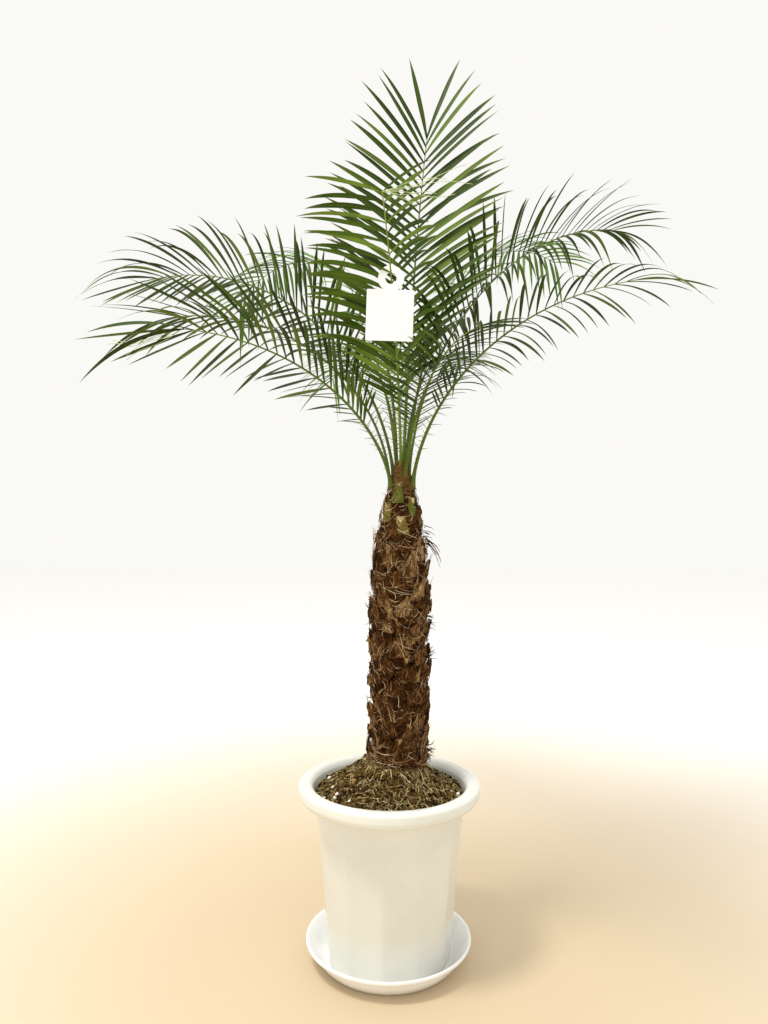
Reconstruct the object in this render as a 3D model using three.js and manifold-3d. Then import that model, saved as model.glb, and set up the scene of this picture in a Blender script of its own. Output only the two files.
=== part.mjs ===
// A pygmy date palm in a white fluted pot with its saucer: trunk with leaf bases, petiole stubs, arching
// fronds of narrow leaflets, the mound of soil and a blank hanging label. Millimetres, +Z up.
// The origin is the centre of the saucer's flat underside, and the label faces -Y.

import * as THREE from 'three';
import { mergeVertices } from 'three/addons/utils/BufferGeometryUtils.js';
import Module from 'manifold-3d';

const wasm = await Module();
wasm.setup();
const { Manifold } = wasm;

// ---------------------------------------------------------------- driving dimensions
const SEAT_GAP = 0.3;              // clearance where one piece rests on another

const SAUCER = { footRadius: 118, lipRadius: 147.5, lipHeight: 39, wall: 4, floor: 4.3, floorRadius: 119 };
const POT = {
  foot: SAUCER.floor + SEAT_GAP,   // height of the pot's underside
  footRadius: 111.5, neckRadius: 134, neckHeight: 278,
  rimHeight: 315, rimOuter: 162, rimInner: 135, rimDepth: 28.5,
  wall: 6.5, floor: 5, flutes: 12, fluteTurn: -5, fluteFade: 0.82,
};
const SOIL = { edgeHeight: 296, edgeRadius: 131.5, moundHeight: 350, moundRadius: 62 };
const TRUNK = {
  foot: SOIL.moundHeight + SEAT_GAP, flareRadius: 56, bodyRadius: 46, shoulder: 715, tip: 862, tipRadius: 13,
  axisX: 15.6, topShift: 3.2, sides: 20,
};
const BOOT = {
  low: 377, high: 768, rise: 5.4, length: 30, baseWidth: 30, cutWidth: 11, stand: 9.5, sunk: 4, slope: 9,
};
const STUB = { count: 9, top: 841, drop: 6.8, length: 27, width: 16, stand: 7, firstAzimuth: 254 };
const ROOTS = { count: 26, width: 6, top: 374 };
const LABEL = {
  width: 74, height: 80, thick: 1.2, ringOuter: 20.5, ringInner: 8.8, ringRise: 17.5, along: 0.715, turn: 1.6,
};
const GOLDEN_ANGLE = 137.508;

const RACHIS = { baseWidth: 9, tipWidth: 1.7, depthShare: 0.62, steps: 60, every: 5 };
const LEAFLET = {
  firstAt: 0.27, spacing: 19.5, width: 12, thickShare: 0.012, minThick: 0.9, widestAt: 0.42,
  angleAtBase: 60, shortest: 0.4, fullAt: 0.3, droopReach: 170,
};
const SPLIT_BEND = 60;             // a frond that bends more than this is two solids, met at SPLIT_AT
const SPLIT_AT = 0.56;

// Height and distance from the trunk's axis where each whorl of petioles leaves the neck.
const WHORLS = {
  outer: { height: 836, radius: 21, width: 1 },
  middle: { height: 848, radius: 14.5, width: 0.8 },
  heart: { height: TRUNK.tip + SEAT_GAP, radius: 6.8, width: 0.74 },
};

// Each frond: where it points (azimuth from +X, degrees), how far it leans at foot and tip, how late it
// bends, its length, sideways sweep and roll along it, and its leaflets: length, how that changes to the
// tip, their angles from the rachis late on it and at its tip, rise out of the blade's plane, droop, how
// unlike the two sides droop, and how far both are skewed to one side.
const FRONDS = [
  { name: 'frond_crown_back', whorl: 'heart', azimuth: 65, lean: [5, 13], bend: 1.1, length: 658, sweep: -2,
    roll: [21, 28], leaf: 203, tipGrowth: -0.12, angles: [66, 18], rise: 30, droop: 0.18, uneven: 0, skew: -4 },
  { name: 'frond_crown_front', whorl: 'heart', azimuth: 263, lean: [12, 62], bend: 1, length: 498, sweep: 0,
    roll: [35, 28], leaf: 168, tipGrowth: -0.5, angles: [88, 88], rise: 36, droop: 0.38, uneven: 0.05,
    skew: -10 },
  { name: 'frond_left_high', whorl: 'middle', azimuth: 157, lean: [3, 92], bend: 0.83, length: 770, sweep: -3,
    roll: [76, 39], leaf: 214, tipGrowth: 0.25, angles: [22, 11], rise: 26, droop: 0.22, uneven: -0.8,
    skew: -4 },
  { name: 'frond_left_low', whorl: 'outer', azimuth: 207, lean: [3, 90], bend: 0.64, length: 478, sweep: -2,
    roll: [8, 35], leaf: 168, tipGrowth: 0, angles: [74, 5], rise: 14, droop: 0.35, uneven: -0.85, skew: 16 },
  { name: 'frond_left_mid', whorl: 'outer', azimuth: 180, lean: [1, 98], bend: 0.92, length: 545, sweep: 6,
    roll: [15, 25], leaf: 138, tipGrowth: 0.15, angles: [30, 15], rise: 22, droop: 0.34, uneven: 0.5 },
  { name: 'frond_back_left', whorl: 'middle', azimuth: 122, lean: [2, 125], bend: 1.5, length: 830, sweep: 18,
    roll: [0, 10], leaf: 140, tipGrowth: 0, angles: [36, 30], rise: 10, droop: 0.85, uneven: 0 },
  { name: 'frond_right_high', whorl: 'middle', azimuth: 21, lean: [3, 82], bend: 1, length: 794, sweep: 11,
    roll: [-60, -5], leaf: 205, tipGrowth: -0.45, angles: [24, 5], rise: 32, droop: 0.66, uneven: -0.3,
    skew: 17 },
  { name: 'frond_right_low', whorl: 'outer', azimuth: -14, lean: [3, 84], bend: 0.83, length: 560, sweep: 2,
    roll: [-31, -24], leaf: 124, tipGrowth: 0.25, angles: [62, 5], rise: 13, droop: 0.7, uneven: 0.2, skew: -3 },
  { name: 'frond_back_right', whorl: 'middle', azimuth: 52, lean: [8, 101], bend: 1.6, length: 783, sweep: -12,
    roll: [0, -20], leaf: 142, tipGrowth: 0, angles: [36, 28], rise: 15, droop: 0.75, uneven: 0 },
  { name: 'frond_back_low', whorl: 'outer', azimuth: 106, lean: [6, 114], bend: 1, length: 640, sweep: 4,
    roll: [0, 0], leaf: 150, tipGrowth: 0, angles: [34, 22], rise: 15, droop: 0.55, uneven: 0 },
  { name: 'frond_back_side', whorl: 'outer', azimuth: 73, lean: [7, 100], bend: 1.05, length: 530, sweep: -6,
    roll: [0, 0], leaf: 142, tipGrowth: 0, angles: [34, 22], rise: 15, droop: 0.6, uneven: 0 },
  { name: 'frond_front_low', whorl: 'middle', azimuth: 294, lean: [8, 92], bend: 1, length: 370, sweep: -4,
    roll: [0, 0], leaf: 112, tipGrowth: 0, angles: [34, 22], rise: 15, droop: 0.6, uneven: 0 },
];

// ---------------------------------------------------------------- finishes
const finish = (color, roughness) => new THREE.MeshStandardMaterial({ color, roughness, metalness: 0 });
const FINISH = {
  glaze: finish(0xf2f3ef, 0.25),
  soil: finish(0x4b3a28, 0.95),
  bark: finish(0x6b4a30, 0.9),
  stub: finish(0x8a9a4a, 0.6),
  frond: finish(0x47762c, 0.5),
  card: finish(0xf7f6f0, 0.6),
};

// ---------------------------------------------------------------- small maths
const radians = (degrees) => (degrees * Math.PI) / 180;
const clamp01 = (x) => Math.min(1, Math.max(0, x));
const smooth = (x) => clamp01(x) ** 2 * (3 - 2 * clamp01(x));
const mix = (a, b, t) => a + (b - a) * t;

// A repeatable number from -1 to 1 for each integer key.
function wobble(key) {
  const wave = Math.sin(key * 12.9898 + 78.233) * 43758.5453;
  return 2 * (wave - Math.floor(wave)) - 1;
}

// The trunk's axis drifts in +X towards the crown: quadratic in height above the soil.
function axisX(height) {
  const share = clamp01((height - TRUNK.foot) / (TRUNK.tip - TRUNK.foot));
  return TRUNK.axisX + TRUNK.topShift * share ** 2;
}

// ---------------------------------------------------------------- solids
// A closed mesh as a solid, with its shared vertices merged.
function solidOf(geometry) {
  const bare = new THREE.BufferGeometry().setAttribute('position', geometry.getAttribute('position'));
  bare.setIndex(geometry.getIndex());
  const merged = mergeVertices(bare, 1e-4);
  return new Manifold(new wasm.Mesh({
    numProp: 3,
    vertProperties: merged.getAttribute('position').array,
    triVerts: new Uint32Array(merged.getIndex().array),
  }));
}

function geometryOf(solid) {
  const mesh = solid.getMesh();
  const geometry = new THREE.BufferGeometry();
  geometry.setAttribute('position', new THREE.BufferAttribute(new Float32Array(mesh.vertProperties), 3));
  geometry.setIndex(new THREE.BufferAttribute(new Uint32Array(mesh.triVerts), 1));
  geometry.computeVertexNormals();
  return geometry;
}

// The outer shell of the largest piece: it fills any hollow that fusing has sealed and drops loose scraps.
function wholeBody(solid) {
  const shells = solid.decompose();
  return shells.reduce((best, shell) => (shell.volume() > best.volume() ? shell : best));
}

function namedMesh(name, geometry, material) {
  const mesh = new THREE.Mesh(geometry, material);
  mesh.name = name;
  return mesh;
}

// A solid through rings of points that run counter-clockwise round the way it goes, with a fan at each end.
function loft(rings) {
  const count = rings[0].length;
  const points = rings.flat();
  const index = [];
  for (let r = 0; r + 1 < rings.length; r += 1) {
    for (let i = 0; i < count; i += 1) {
      const a = r * count + i;
      const b = r * count + ((i + 1) % count);
      index.push(a, b, a + count, b, b + count, a + count);
    }
  }
  const last = (rings.length - 1) * count;
  for (let i = 1; i + 1 < count; i += 1) {
    index.push(0, i + 1, i);
    index.push(last, last + i, last + i + 1);
  }
  const geometry = new THREE.BufferGeometry().setFromPoints(points);
  geometry.setIndex(index);
  return geometry;
}

// A lathe's profile is [radius, height] pairs from its foot to its top, and lies round +Z here.
function turned(profile, sides) {
  const points = profile.map(([radius, height]) => new THREE.Vector2(radius, height));
  return new THREE.LatheGeometry(points, sides).rotateX(Math.PI / 2);
}

// Eight faces: a foot, a tip, and a cross of four points at the widest place.
function blade(foot, waist, tip, across, through) {
  const points = [
    foot, tip,
    waist.clone().add(across), waist.clone().add(through),
    waist.clone().sub(across), waist.clone().sub(through),
  ];
  const index = [];
  for (let i = 0; i < 4; i += 1) {
    const a = 2 + i;
    const b = 2 + ((i + 1) % 4);
    index.push(0, b, a, 1, a, b);
  }
  const geometry = new THREE.BufferGeometry().setFromPoints(points);
  geometry.setIndex(index);
  const solid = solidOf(geometry);
  if (solid.volume() > 0) return solid;
  const flipped = new THREE.BufferGeometry().setFromPoints(points);
  flipped.setIndex(index.map((_, i) => index[i - (i % 3) + (2 - (i % 3))]));
  return solidOf(flipped);
}

// ---------------------------------------------------------------- saucer and pot
function saucer() {
  const { footRadius, lipRadius, lipHeight, wall, floor, floorRadius } = SAUCER;
  const profile = [
    [0, 0], [footRadius - 2, 0], [footRadius + 2, 1.5], [footRadius + 12, 12], [lipRadius - 8, 29],
    [lipRadius - 1.5, lipHeight - 5], [lipRadius, lipHeight - 2.5], [lipRadius - 1.5, lipHeight - 0.3],
    [lipRadius - wall, lipHeight - 0.6], [lipRadius - 2.6 * wall, lipHeight - 8],
    [footRadius + 9, 14], [floorRadius, floor], [0, floor],
  ];
  return turned(profile, 48);
}

// The pot's wall is round at the rim and has flat flutes below it: a flute's face is the chord between two
// edges, and fades into the circle from fluteFade of the neck's height upwards.
function pot() {
  const { foot, footRadius, neckRadius, neckHeight, rimHeight, rimOuter, rimInner, rimDepth, wall } = POT;
  const inside = POT.foot + POT.floor;
  const body = (height) => mix(footRadius, neckRadius, ((height - foot) / (neckHeight - foot)) ** 1.15);
  const outer = [foot, 60, 120, 180, 235, 262, neckHeight].map((height) => [body(height), height]);
  const rim = [
    [rimInner + 2, rimHeight - rimDepth + 1], [rimOuter - 6, rimHeight - rimDepth],
    [rimOuter - 1, rimHeight - rimDepth + 4], [rimOuter, rimHeight - 9], [rimOuter - 2.5, rimHeight - 2.5],
    [rimOuter - 8, rimHeight], [rimInner + 7, rimHeight - 0.8], [rimInner + 1.5, rimHeight - 3],
    [rimInner, rimHeight - 7],
  ];
  const inner = [neckHeight, 180, 90, inside].map((height) => [body(height) - wall, height]);
  const profile = [[0, foot], ...outer, ...rim, ...inner, [0, inside]];
  const geometry = turned(profile, POT.flutes * 4);
  const position = geometry.getAttribute('position');
  const half = Math.PI / POT.flutes;
  for (let i = 0; i < position.count; i += 1) {
    const x = position.getX(i);
    const y = position.getY(i);
    const height = position.getZ(i);
    const isOuter = Math.hypot(x, y) > body(height) - wall / 2 && height < neckHeight + 1;
    const turn = Math.atan2(y, x) - radians(POT.fluteTurn);
    const within = turn - 2 * half * Math.floor(turn / (2 * half)) - half;
    const flat = Math.cos(half) / Math.cos(within);
    const fade = 1 - smooth((height / neckHeight - POT.fluteFade) / (1 - POT.fluteFade));
    const shrink = isOuter ? mix(1, flat, fade) : 1;
    position.setXY(i, x * shrink, y * shrink);
  }
  return geometry;
}

function soil() {
  const { edgeHeight, edgeRadius, moundHeight, moundRadius } = SOIL;
  const floor = POT.foot + POT.floor + SEAT_GAP;
  const wallAt = (height) => mix(POT.footRadius, POT.neckRadius,
    ((height - POT.foot) / (POT.neckHeight - POT.foot)) ** 1.15) - POT.wall - 2 * SEAT_GAP;
  const slope = [0.8, 0.6, 0.4, 0.2].map((t) => [
    mix(moundRadius, edgeRadius, t), mix(moundHeight, edgeHeight, t ** 1.25),
  ]);
  const profile = [
    [0, floor], [wallAt(floor), floor], [wallAt(90) - 1, 90], [wallAt(180) - 1, 180],
    [wallAt(270), 270], [SOIL.edgeRadius - 4, edgeHeight - 2], ...slope, [moundRadius, moundHeight],
    [0, moundHeight],
  ];
  return turned(profile, 36);
}

// ---------------------------------------------------------------- trunk
// [radius, height] from the flare, up the even body, to the cone under the crown.
const trunkProfile = (grow) => [
  [TRUNK.flareRadius + grow, TRUNK.foot - grow], [TRUNK.flareRadius - 5 + grow, 364],
  [TRUNK.bodyRadius + 1 + grow, 384], [TRUNK.bodyRadius + grow, 430], [TRUNK.bodyRadius + 0.5 + grow, 580],
  [TRUNK.bodyRadius - 1 + grow, TRUNK.shoulder], [38.5 + grow, 762], [33.5 + grow, 795], [26.5 + grow, 822],
  [20.5 + grow, 843], [TRUNK.tipRadius + 3 + grow, 856], [TRUNK.tipRadius + grow, TRUNK.tip + grow],
];

function trunkCore(grow) {
  const profile = [[0, TRUNK.foot - grow], ...trunkProfile(grow), [0, TRUNK.tip + grow]];
  const geometry = turned(profile, TRUNK.sides);
  const position = geometry.getAttribute('position');
  for (let i = 0; i < position.count; i += 1) {
    position.setX(i, position.getX(i) + axisX(position.getZ(i)));
  }
  return solidOf(geometry);
}

function trunkRadius(height) {
  const profile = trunkProfile(0);
  const k = Math.max(1, profile.findIndex((point) => point[1] >= height));
  const [low, high] = [profile[k - 1], profile[k]];
  return mix(low[0], high[0], clamp01((height - low[1]) / (high[1] - low[1])));
}

// A point at an azimuth, distance from the trunk's axis and height.
function around(azimuth, radius, height) {
  const turn = radians(azimuth);
  return new THREE.Vector3(axisX(height) + radius * Math.cos(turn), radius * Math.sin(turn), height);
}

// A leaf base: a wedge that is wide where it clasps the trunk and stands out to a blunt cut above.
function wedge(azimuth, low, size) {
  const side = new THREE.Vector3(-Math.sin(radians(azimuth)), Math.cos(radians(azimuth)), 0);
  const high = low + size.length;
  const ring = (middle, back, width) => [
    middle.clone().addScaledVector(side, -width / 2), middle.clone().addScaledVector(side, width / 2),
    back.clone().addScaledVector(side, width / 2), back.clone().addScaledVector(side, -width / 2),
  ];
  const foot = trunkRadius(low);
  const top = trunkRadius(high);
  return solidOf(loft([
    ring(around(azimuth, foot + 1, low), around(azimuth, foot - 9, low + 2), size.baseWidth),
    ring(around(azimuth, top + size.stand, high), around(azimuth, top - size.sunk, high + size.slope),
      size.cutWidth),
  ]));
}

function trunk() {
  const parts = [trunkCore(0)];
  const count = Math.floor((BOOT.high - BOOT.low) / BOOT.rise);
  for (let k = 0; k < count; k += 1) {
    const turn = STUB.firstAzimuth + GOLDEN_ANGLE * (STUB.count + k);
    const size = { ...BOOT, stand: BOOT.stand + 2 * wobble(k), length: BOOT.length + 4 * wobble(k + 500) };
    parts.push(wedge(turn, BOOT.high - BOOT.rise * k - BOOT.length, size));
  }
  for (let k = 0; k < ROOTS.count; k += 1) {
    const turn = (360 / ROOTS.count) * k + 4 * wobble(k + 900);
    const foot = around(turn, TRUNK.bodyRadius - 4, ROOTS.top + 3 * wobble(k + 930));
    const tip = around(turn, TRUNK.flareRadius + 4.5, TRUNK.foot + 0.6);
    const across = new THREE.Vector3(-Math.sin(radians(turn)), Math.cos(radians(turn)), 0);
    const out = new THREE.Vector3(Math.cos(radians(turn)), Math.sin(radians(turn)), 0.7).normalize();
    const waist = foot.clone().lerp(tip, 0.62).addScaledVector(out, 4);
    parts.push(blade(foot, waist, tip, across.multiplyScalar(ROOTS.width / 2), out.multiplyScalar(3)));
  }
  return wholeBody(Manifold.union(parts).simplify(0.05));
}

// A cut petiole stub: its clasping foot is trimmed to the trunk, and its top is the flat pruning cut.
function stub(k, clearance) {
  const azimuth = STUB.firstAzimuth + GOLDEN_ANGLE * k;
  const size = { ...STUB, baseWidth: STUB.width + 3, cutWidth: STUB.width - 3, sunk: 1, slope: 3 };
  return wholeBody(wedge(azimuth, STUB.top - STUB.drop * k - STUB.length, size).subtract(clearance));
}

// ---------------------------------------------------------------- fronds
// The rachis: its lean grows from lean[0] to lean[1] as (distance share) to the power bend, its azimuth
// drifts by sweep, and each place carries its tangent, its upper side and its own sideways direction.
function rachisFrames(frond) {
  const whorl = WHORLS[frond.whorl];
  const frames = [];
  let point = around(frond.azimuth, whorl.radius, whorl.height);
  for (let k = 0; k <= RACHIS.steps; k += 1) {
    const share = k / RACHIS.steps;
    const lean = radians(mix(frond.lean[0], frond.lean[1], share ** frond.bend));
    const azimuth = radians(frond.azimuth + frond.sweep * share);
    const along = new THREE.Vector3(
      Math.sin(lean) * Math.cos(azimuth), Math.sin(lean) * Math.sin(azimuth), Math.cos(lean),
    );
    const up = new THREE.Vector3(
      -Math.cos(lean) * Math.cos(azimuth), -Math.cos(lean) * Math.sin(azimuth), Math.sin(lean),
    );
    const side = new THREE.Vector3().crossVectors(along, up);
    const roll = radians(mix(frond.roll[0], frond.roll[1], share));
    if (k > 0) {
      const middle = frames[k - 1].along.clone().add(along).multiplyScalar(0.5);
      point = frames[k - 1].point.clone().addScaledVector(middle, frond.length / RACHIS.steps);
    }
    frames.push({
      share, point, along,
      up: up.clone().multiplyScalar(Math.cos(roll)).addScaledVector(side, Math.sin(roll)),
      side: side.clone().multiplyScalar(Math.cos(roll)).addScaledVector(up, -Math.sin(roll)),
    });
  }
  return frames;
}

function frameAt(frames, share) {
  const k = Math.min(RACHIS.steps - 1, Math.floor(share * RACHIS.steps));
  const t = share * RACHIS.steps - k;
  const blend = (key) => frames[k][key].clone().lerp(frames[k + 1][key], t);
  return { point: blend('point'), along: blend('along'), up: blend('up'), side: blend('side') };
}

const rachisWidth = (frond, share) => mix(RACHIS.baseWidth * WHORLS[frond.whorl].width, RACHIS.tipWidth,
  share ** 0.75);

// A three-sided stem from one share of the rachis to another: flat above, with a keel below.
function rachisSolid(frond, frames, from, to) {
  const shares = [from];
  for (let k = RACHIS.every; k < RACHIS.steps; k += RACHIS.every) {
    const share = k / RACHIS.steps;
    if (share > from + 0.02 && share < to - 0.02) shares.push(share);
  }
  shares.push(to);
  return solidOf(loft(shares.map((share) => {
    const { point, up, side } = frameAt(frames, share);
    const width = rachisWidth(frond, share);
    const depth = width * RACHIS.depthShare;
    return [
      point.clone().addScaledVector(side, width / 2).addScaledVector(up, depth * 0.4),
      point.clone().addScaledVector(up, -depth * 0.6),
      point.clone().addScaledVector(side, -width / 2).addScaledVector(up, depth * 0.4),
    ];
  })));
}

// The place of each leaflet's foot and the numbers that shape it; scatter makes no two alike.
function leafletPlan(frond, number) {
  const [lateAngle, tipAngle] = frond.angles;
  const pairs = Math.round((frond.length * (1 - LEAFLET.firstAt)) / LEAFLET.spacing);
  const plan = [];
  for (let i = 0; i < pairs; i += 1) {
    const u = i / (pairs - 1);
    for (const hand of [-1, 1]) {
      const key = number * 1000 + i * 2 + (hand + 1) / 2;
      const droop = frond.droop * (1 + frond.uneven * hand) * (1 + 0.35 * wobble(key + 300));
      plan.push({
        hand,
        share: LEAFLET.firstAt + (1 - LEAFLET.firstAt) * u ** 1.2 - (hand > 0 && i + 1 < pairs ? 0 : 0.004),
        angle: mix(LEAFLET.angleAtBase, lateAngle, u ** 1.5) - (lateAngle - tipAngle) * u ** 9
          + (frond.skew ?? 0) * hand + 4 * wobble(key),
        rise: frond.rise + 7 * wobble(key + 100),
        length: frond.leaf * (1 + frond.tipGrowth * (u - 0.5)) * (1 + 0.07 * wobble(key + 200))
          * mix(LEAFLET.shortest, 1, smooth(u / LEAFLET.fullAt)),
        droop,
      });
    }
  }
  return plan;
}

// A leaflet leaves the rachis at its angle and sags along its length: the sag grows as the 2.2th power.
function leafletSolid(frames, leaf, spare) {
  const { point, along, up, side } = frameAt(frames, leaf.share);
  const angle = radians(leaf.angle);
  const rise = radians(leaf.rise);
  const out = side.clone().multiplyScalar(leaf.hand * Math.cos(rise)).addScaledVector(up, Math.sin(rise));
  const toward = along.clone().multiplyScalar(Math.cos(angle)).addScaledVector(out, Math.sin(angle));
  const sag = (leaf.droop * leaf.length) / LEAFLET.droopReach;
  const at = (t) => point.clone().addScaledVector(toward, leaf.length * t * (1 - 0.12 * sag * t))
    .add(new THREE.Vector3(0, 0, -0.55 * sag * leaf.length * t ** 2.2));
  const across = along.clone().addScaledVector(toward, -along.dot(toward)).normalize();
  const through = new THREE.Vector3().crossVectors(toward, across);
  const width = LEAFLET.width * mix(0.55, 1, clamp01(leaf.length / 150));
  const thick = Math.max(LEAFLET.minThick, LEAFLET.thickShare * leaf.length);
  return blade(at(0), at(LEAFLET.widestAt), at(1),
    across.multiplyScalar(width / 2 + spare), through.multiplyScalar(thick / 2 + spare));
}

// What already stands in the crown, so that a leaflet that would cut through it is turned or left out.
class Neighbourhood {
  constructor() {
    this.items = [];
  }

  add(owner, solid) {
    this.items.push({ owner, solid, box: solid.boundingBox() });
  }

  blocks(owner, solid) {
    const box = solid.boundingBox();
    return this.items.some((item) => item.owner !== owner
      && [0, 1, 2].every((a) => item.box.min[a] <= box.max[a] && item.box.max[a] >= box.min[a])
      && item.solid.intersect(solid).volume() > 0);
  }
}

// The changes tried, in turn, on a leaflet that meets a neighbour: turned up or down, then shortened too.
const DODGES = [1, 0.8, 0.62].flatMap((length) => [0, 6, -6, 12, -12, 20, -20]
  .map((turn) => ({ length, turn })));

// Grows one frond as one or two solids; the halves of a bent frond meet face to face at SPLIT_AT.
function frondMeshes(frond, number, frames, stems, crowd) {
  const leaves = stems.map(() => []);
  for (const leaf of leafletPlan(frond, number)) {
    const half = stems.findIndex((stem) => leaf.share < stem.to);
    const owner = stems[half].name;
    const tries = DODGES.map((dodge) => ({
      ...leaf, length: leaf.length * dodge.length, rise: leaf.rise + dodge.turn,
    }));
    const found = tries.find((attempt) => !crowd.blocks(owner, leafletSolid(frames, attempt, SEAT_GAP)));
    if (found) {
      const solid = leafletSolid(frames, found, 0);
      crowd.add(owner, solid);
      leaves[half].push(solid);
    }
  }
  return stems.map((stem, half) => namedMesh(stem.name,
    geometryOf(wholeBody(Manifold.union([stem.solid, ...leaves[half]]).simplify(0.02))), FINISH.frond));
}

function stemsOf(frond, frames, clearance) {
  const isSplit = frond.lean[1] - frond.lean[0] > SPLIT_BEND;
  const gap = SEAT_GAP / frond.length / 2;
  const spans = isSplit
    ? [['_inner', 0, SPLIT_AT - gap], ['_outer', SPLIT_AT + gap, 1]]
    : [['', 0, 1]];
  return spans.map(([suffix, from, to]) => ({
    name: frond.name + suffix,
    to: to === 1 ? 2 : to,
    solid: from === 0
      ? rachisSolid(frond, frames, from, to).subtract(clearance)
      : rachisSolid(frond, frames, from, to),
  }));
}

// ---------------------------------------------------------------- label
// A card with a ring above it, hung with the front frond's rachis through the ring.
function labelShape() {
  const { width, height, ringOuter, ringInner, ringRise } = LABEL;
  const meet = Math.asin(ringRise / ringOuter);
  const shape = new THREE.Shape();
  shape.moveTo(-width / 2, -height - ringRise);
  shape.lineTo(width / 2, -height - ringRise);
  shape.lineTo(width / 2, -ringRise);
  shape.absarc(0, 0, ringOuter, -meet, Math.PI + meet, false);
  shape.lineTo(-width / 2, -ringRise);
  shape.closePath();
  shape.holes.push(new THREE.Path().absarc(0, 0, ringInner, 0, 2 * Math.PI, true));
  return shape;
}

function label(frond, frames) {
  const { point, along } = frameAt(frames, LABEL.along);
  const lean = Math.asin(Math.hypot(along.x, along.y));
  const halfDepth = (rachisWidth(frond, LABEL.along) * 0.5) / Math.sin(lean);
  const mesh = namedMesh('plant_label',
    new THREE.ExtrudeGeometry(labelShape(), { depth: LABEL.thick, bevelEnabled: false, curveSegments: 8 }),
    FINISH.card);
  mesh.position.set(point.x, point.y + LABEL.thick / 2, point.z + halfDepth - LABEL.ringInner + 2 * SEAT_GAP);
  mesh.rotation.set(Math.PI / 2, 0, 0);
  mesh.rotateZ(radians(-LABEL.turn));
  mesh.updateMatrixWorld(true);
  return mesh;
}

// ---------------------------------------------------------------- the plant
function palm() {
  const plant = new THREE.Group();
  plant.add(namedMesh('saucer', saucer(), FINISH.glaze));
  plant.add(namedMesh('pot', pot(), FINISH.glaze));
  plant.add(namedMesh('soil', soil(), FINISH.soil));
  plant.add(namedMesh('trunk', geometryOf(trunk()), FINISH.bark));

  const clearance = trunkCore(SEAT_GAP);
  const crowd = new Neighbourhood();
  crowd.add('trunk', clearance);
  for (let k = 0; k < STUB.count; k += 1) {
    const solid = stub(k, clearance);
    crowd.add('stub', solid);
    plant.add(namedMesh(`petiole_stub_${k + 1}`, geometryOf(solid), FINISH.stub));
  }

  const grown = FRONDS.map((frond) => {
    const frames = rachisFrames(frond);
    return { frond, frames, stems: stemsOf(frond, frames, clearance) };
  });
  for (const { stems } of grown) {
    for (const stem of stems) crowd.add(stem.name, stem.solid);
  }
  const bearer = grown.find(({ frond }) => frond.name === 'frond_crown_front');
  const card = label(bearer.frond, bearer.frames);
  plant.add(card);
  crowd.add('label', solidOf(card.geometry.clone().applyMatrix4(card.matrixWorld)));
  grown.forEach(({ frond, frames, stems }, number) => {
    for (const mesh of frondMeshes(frond, number, frames, stems, crowd)) plant.add(mesh);
  });
  return plant;
}

export default palm();
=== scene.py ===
"""Looks of a potted pygmy date palm: fluted white pot and saucer, soil with roots, fibrous trunk with leaf
bases, arching fronds of narrow leaflets, and a blank hanging card. Metres, +Z up, the card faces -Y."""

import logging
import math
from dataclasses import dataclass
from enum import Enum
from typing import Any, Sequence

import bpy
import numpy as np
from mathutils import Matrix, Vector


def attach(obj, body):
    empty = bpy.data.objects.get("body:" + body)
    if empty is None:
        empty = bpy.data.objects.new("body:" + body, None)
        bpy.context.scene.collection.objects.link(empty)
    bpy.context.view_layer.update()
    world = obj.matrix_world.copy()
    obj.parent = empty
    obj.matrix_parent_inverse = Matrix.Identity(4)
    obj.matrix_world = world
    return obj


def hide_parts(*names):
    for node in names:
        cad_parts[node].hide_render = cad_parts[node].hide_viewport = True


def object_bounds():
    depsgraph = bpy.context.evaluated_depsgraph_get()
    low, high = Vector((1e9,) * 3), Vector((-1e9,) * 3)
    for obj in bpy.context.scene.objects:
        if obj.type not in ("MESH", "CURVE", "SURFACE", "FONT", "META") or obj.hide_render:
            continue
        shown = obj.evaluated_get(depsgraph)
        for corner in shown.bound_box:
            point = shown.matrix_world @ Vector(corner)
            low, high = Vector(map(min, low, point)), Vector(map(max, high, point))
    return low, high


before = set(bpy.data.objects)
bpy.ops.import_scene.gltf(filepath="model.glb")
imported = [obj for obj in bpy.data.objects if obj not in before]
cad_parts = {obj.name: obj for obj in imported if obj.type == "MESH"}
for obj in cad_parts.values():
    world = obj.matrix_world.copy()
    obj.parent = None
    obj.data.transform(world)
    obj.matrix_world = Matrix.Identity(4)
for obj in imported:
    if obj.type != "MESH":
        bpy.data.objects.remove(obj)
CAD_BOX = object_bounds()

LOG = logging.getLogger("palm")
MM = 0.001
GOLDEN_ANGLE = 137.508
NEAR_AXIS = 0.0005
Array = np.ndarray
Colour = tuple[float, float, float, float]


# ------------------------------------------------------------------ small maths
def mix(a: Any, b: Any, t: Any) -> Any:
    """Returns the value t of the way from a to b."""
    return a + (b - a) * t


def smooth(x: Any) -> Any:
    """Returns the smooth step of x: 3x^2 - 2x^3, with x held between 0 and 1."""
    held = np.clip(x, 0.0, 1.0)
    return held * held * (3.0 - 2.0 * held)


def wobble(key: Any) -> Any:
    """Returns a repeatable number from -1 to 1 for each key: a large sine's fraction, doubled, less 1."""
    wave = np.sin(np.asarray(key, float) * 12.9898 + 78.233) * 43758.5453
    return 2.0 * (wave - np.floor(wave)) - 1.0


def unit(vectors: Array) -> Array:
    """Returns the vectors of the last axis at length 1."""
    return vectors / np.maximum(np.linalg.norm(vectors, axis=-1, keepdims=True), 1e-12)


def full_circle(steps: int) -> Array:
    """Returns the angles, in radians, of equal steps once round a circle."""
    return np.arange(steps) * 2.0 * np.pi / steps


def points_of(x: Any, y: Any, z: Any) -> Array:
    """Returns points whose x, y and z are arrays or numbers that broadcast together."""
    return np.stack(np.broadcast_arrays(x, y, z), -1)


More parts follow.
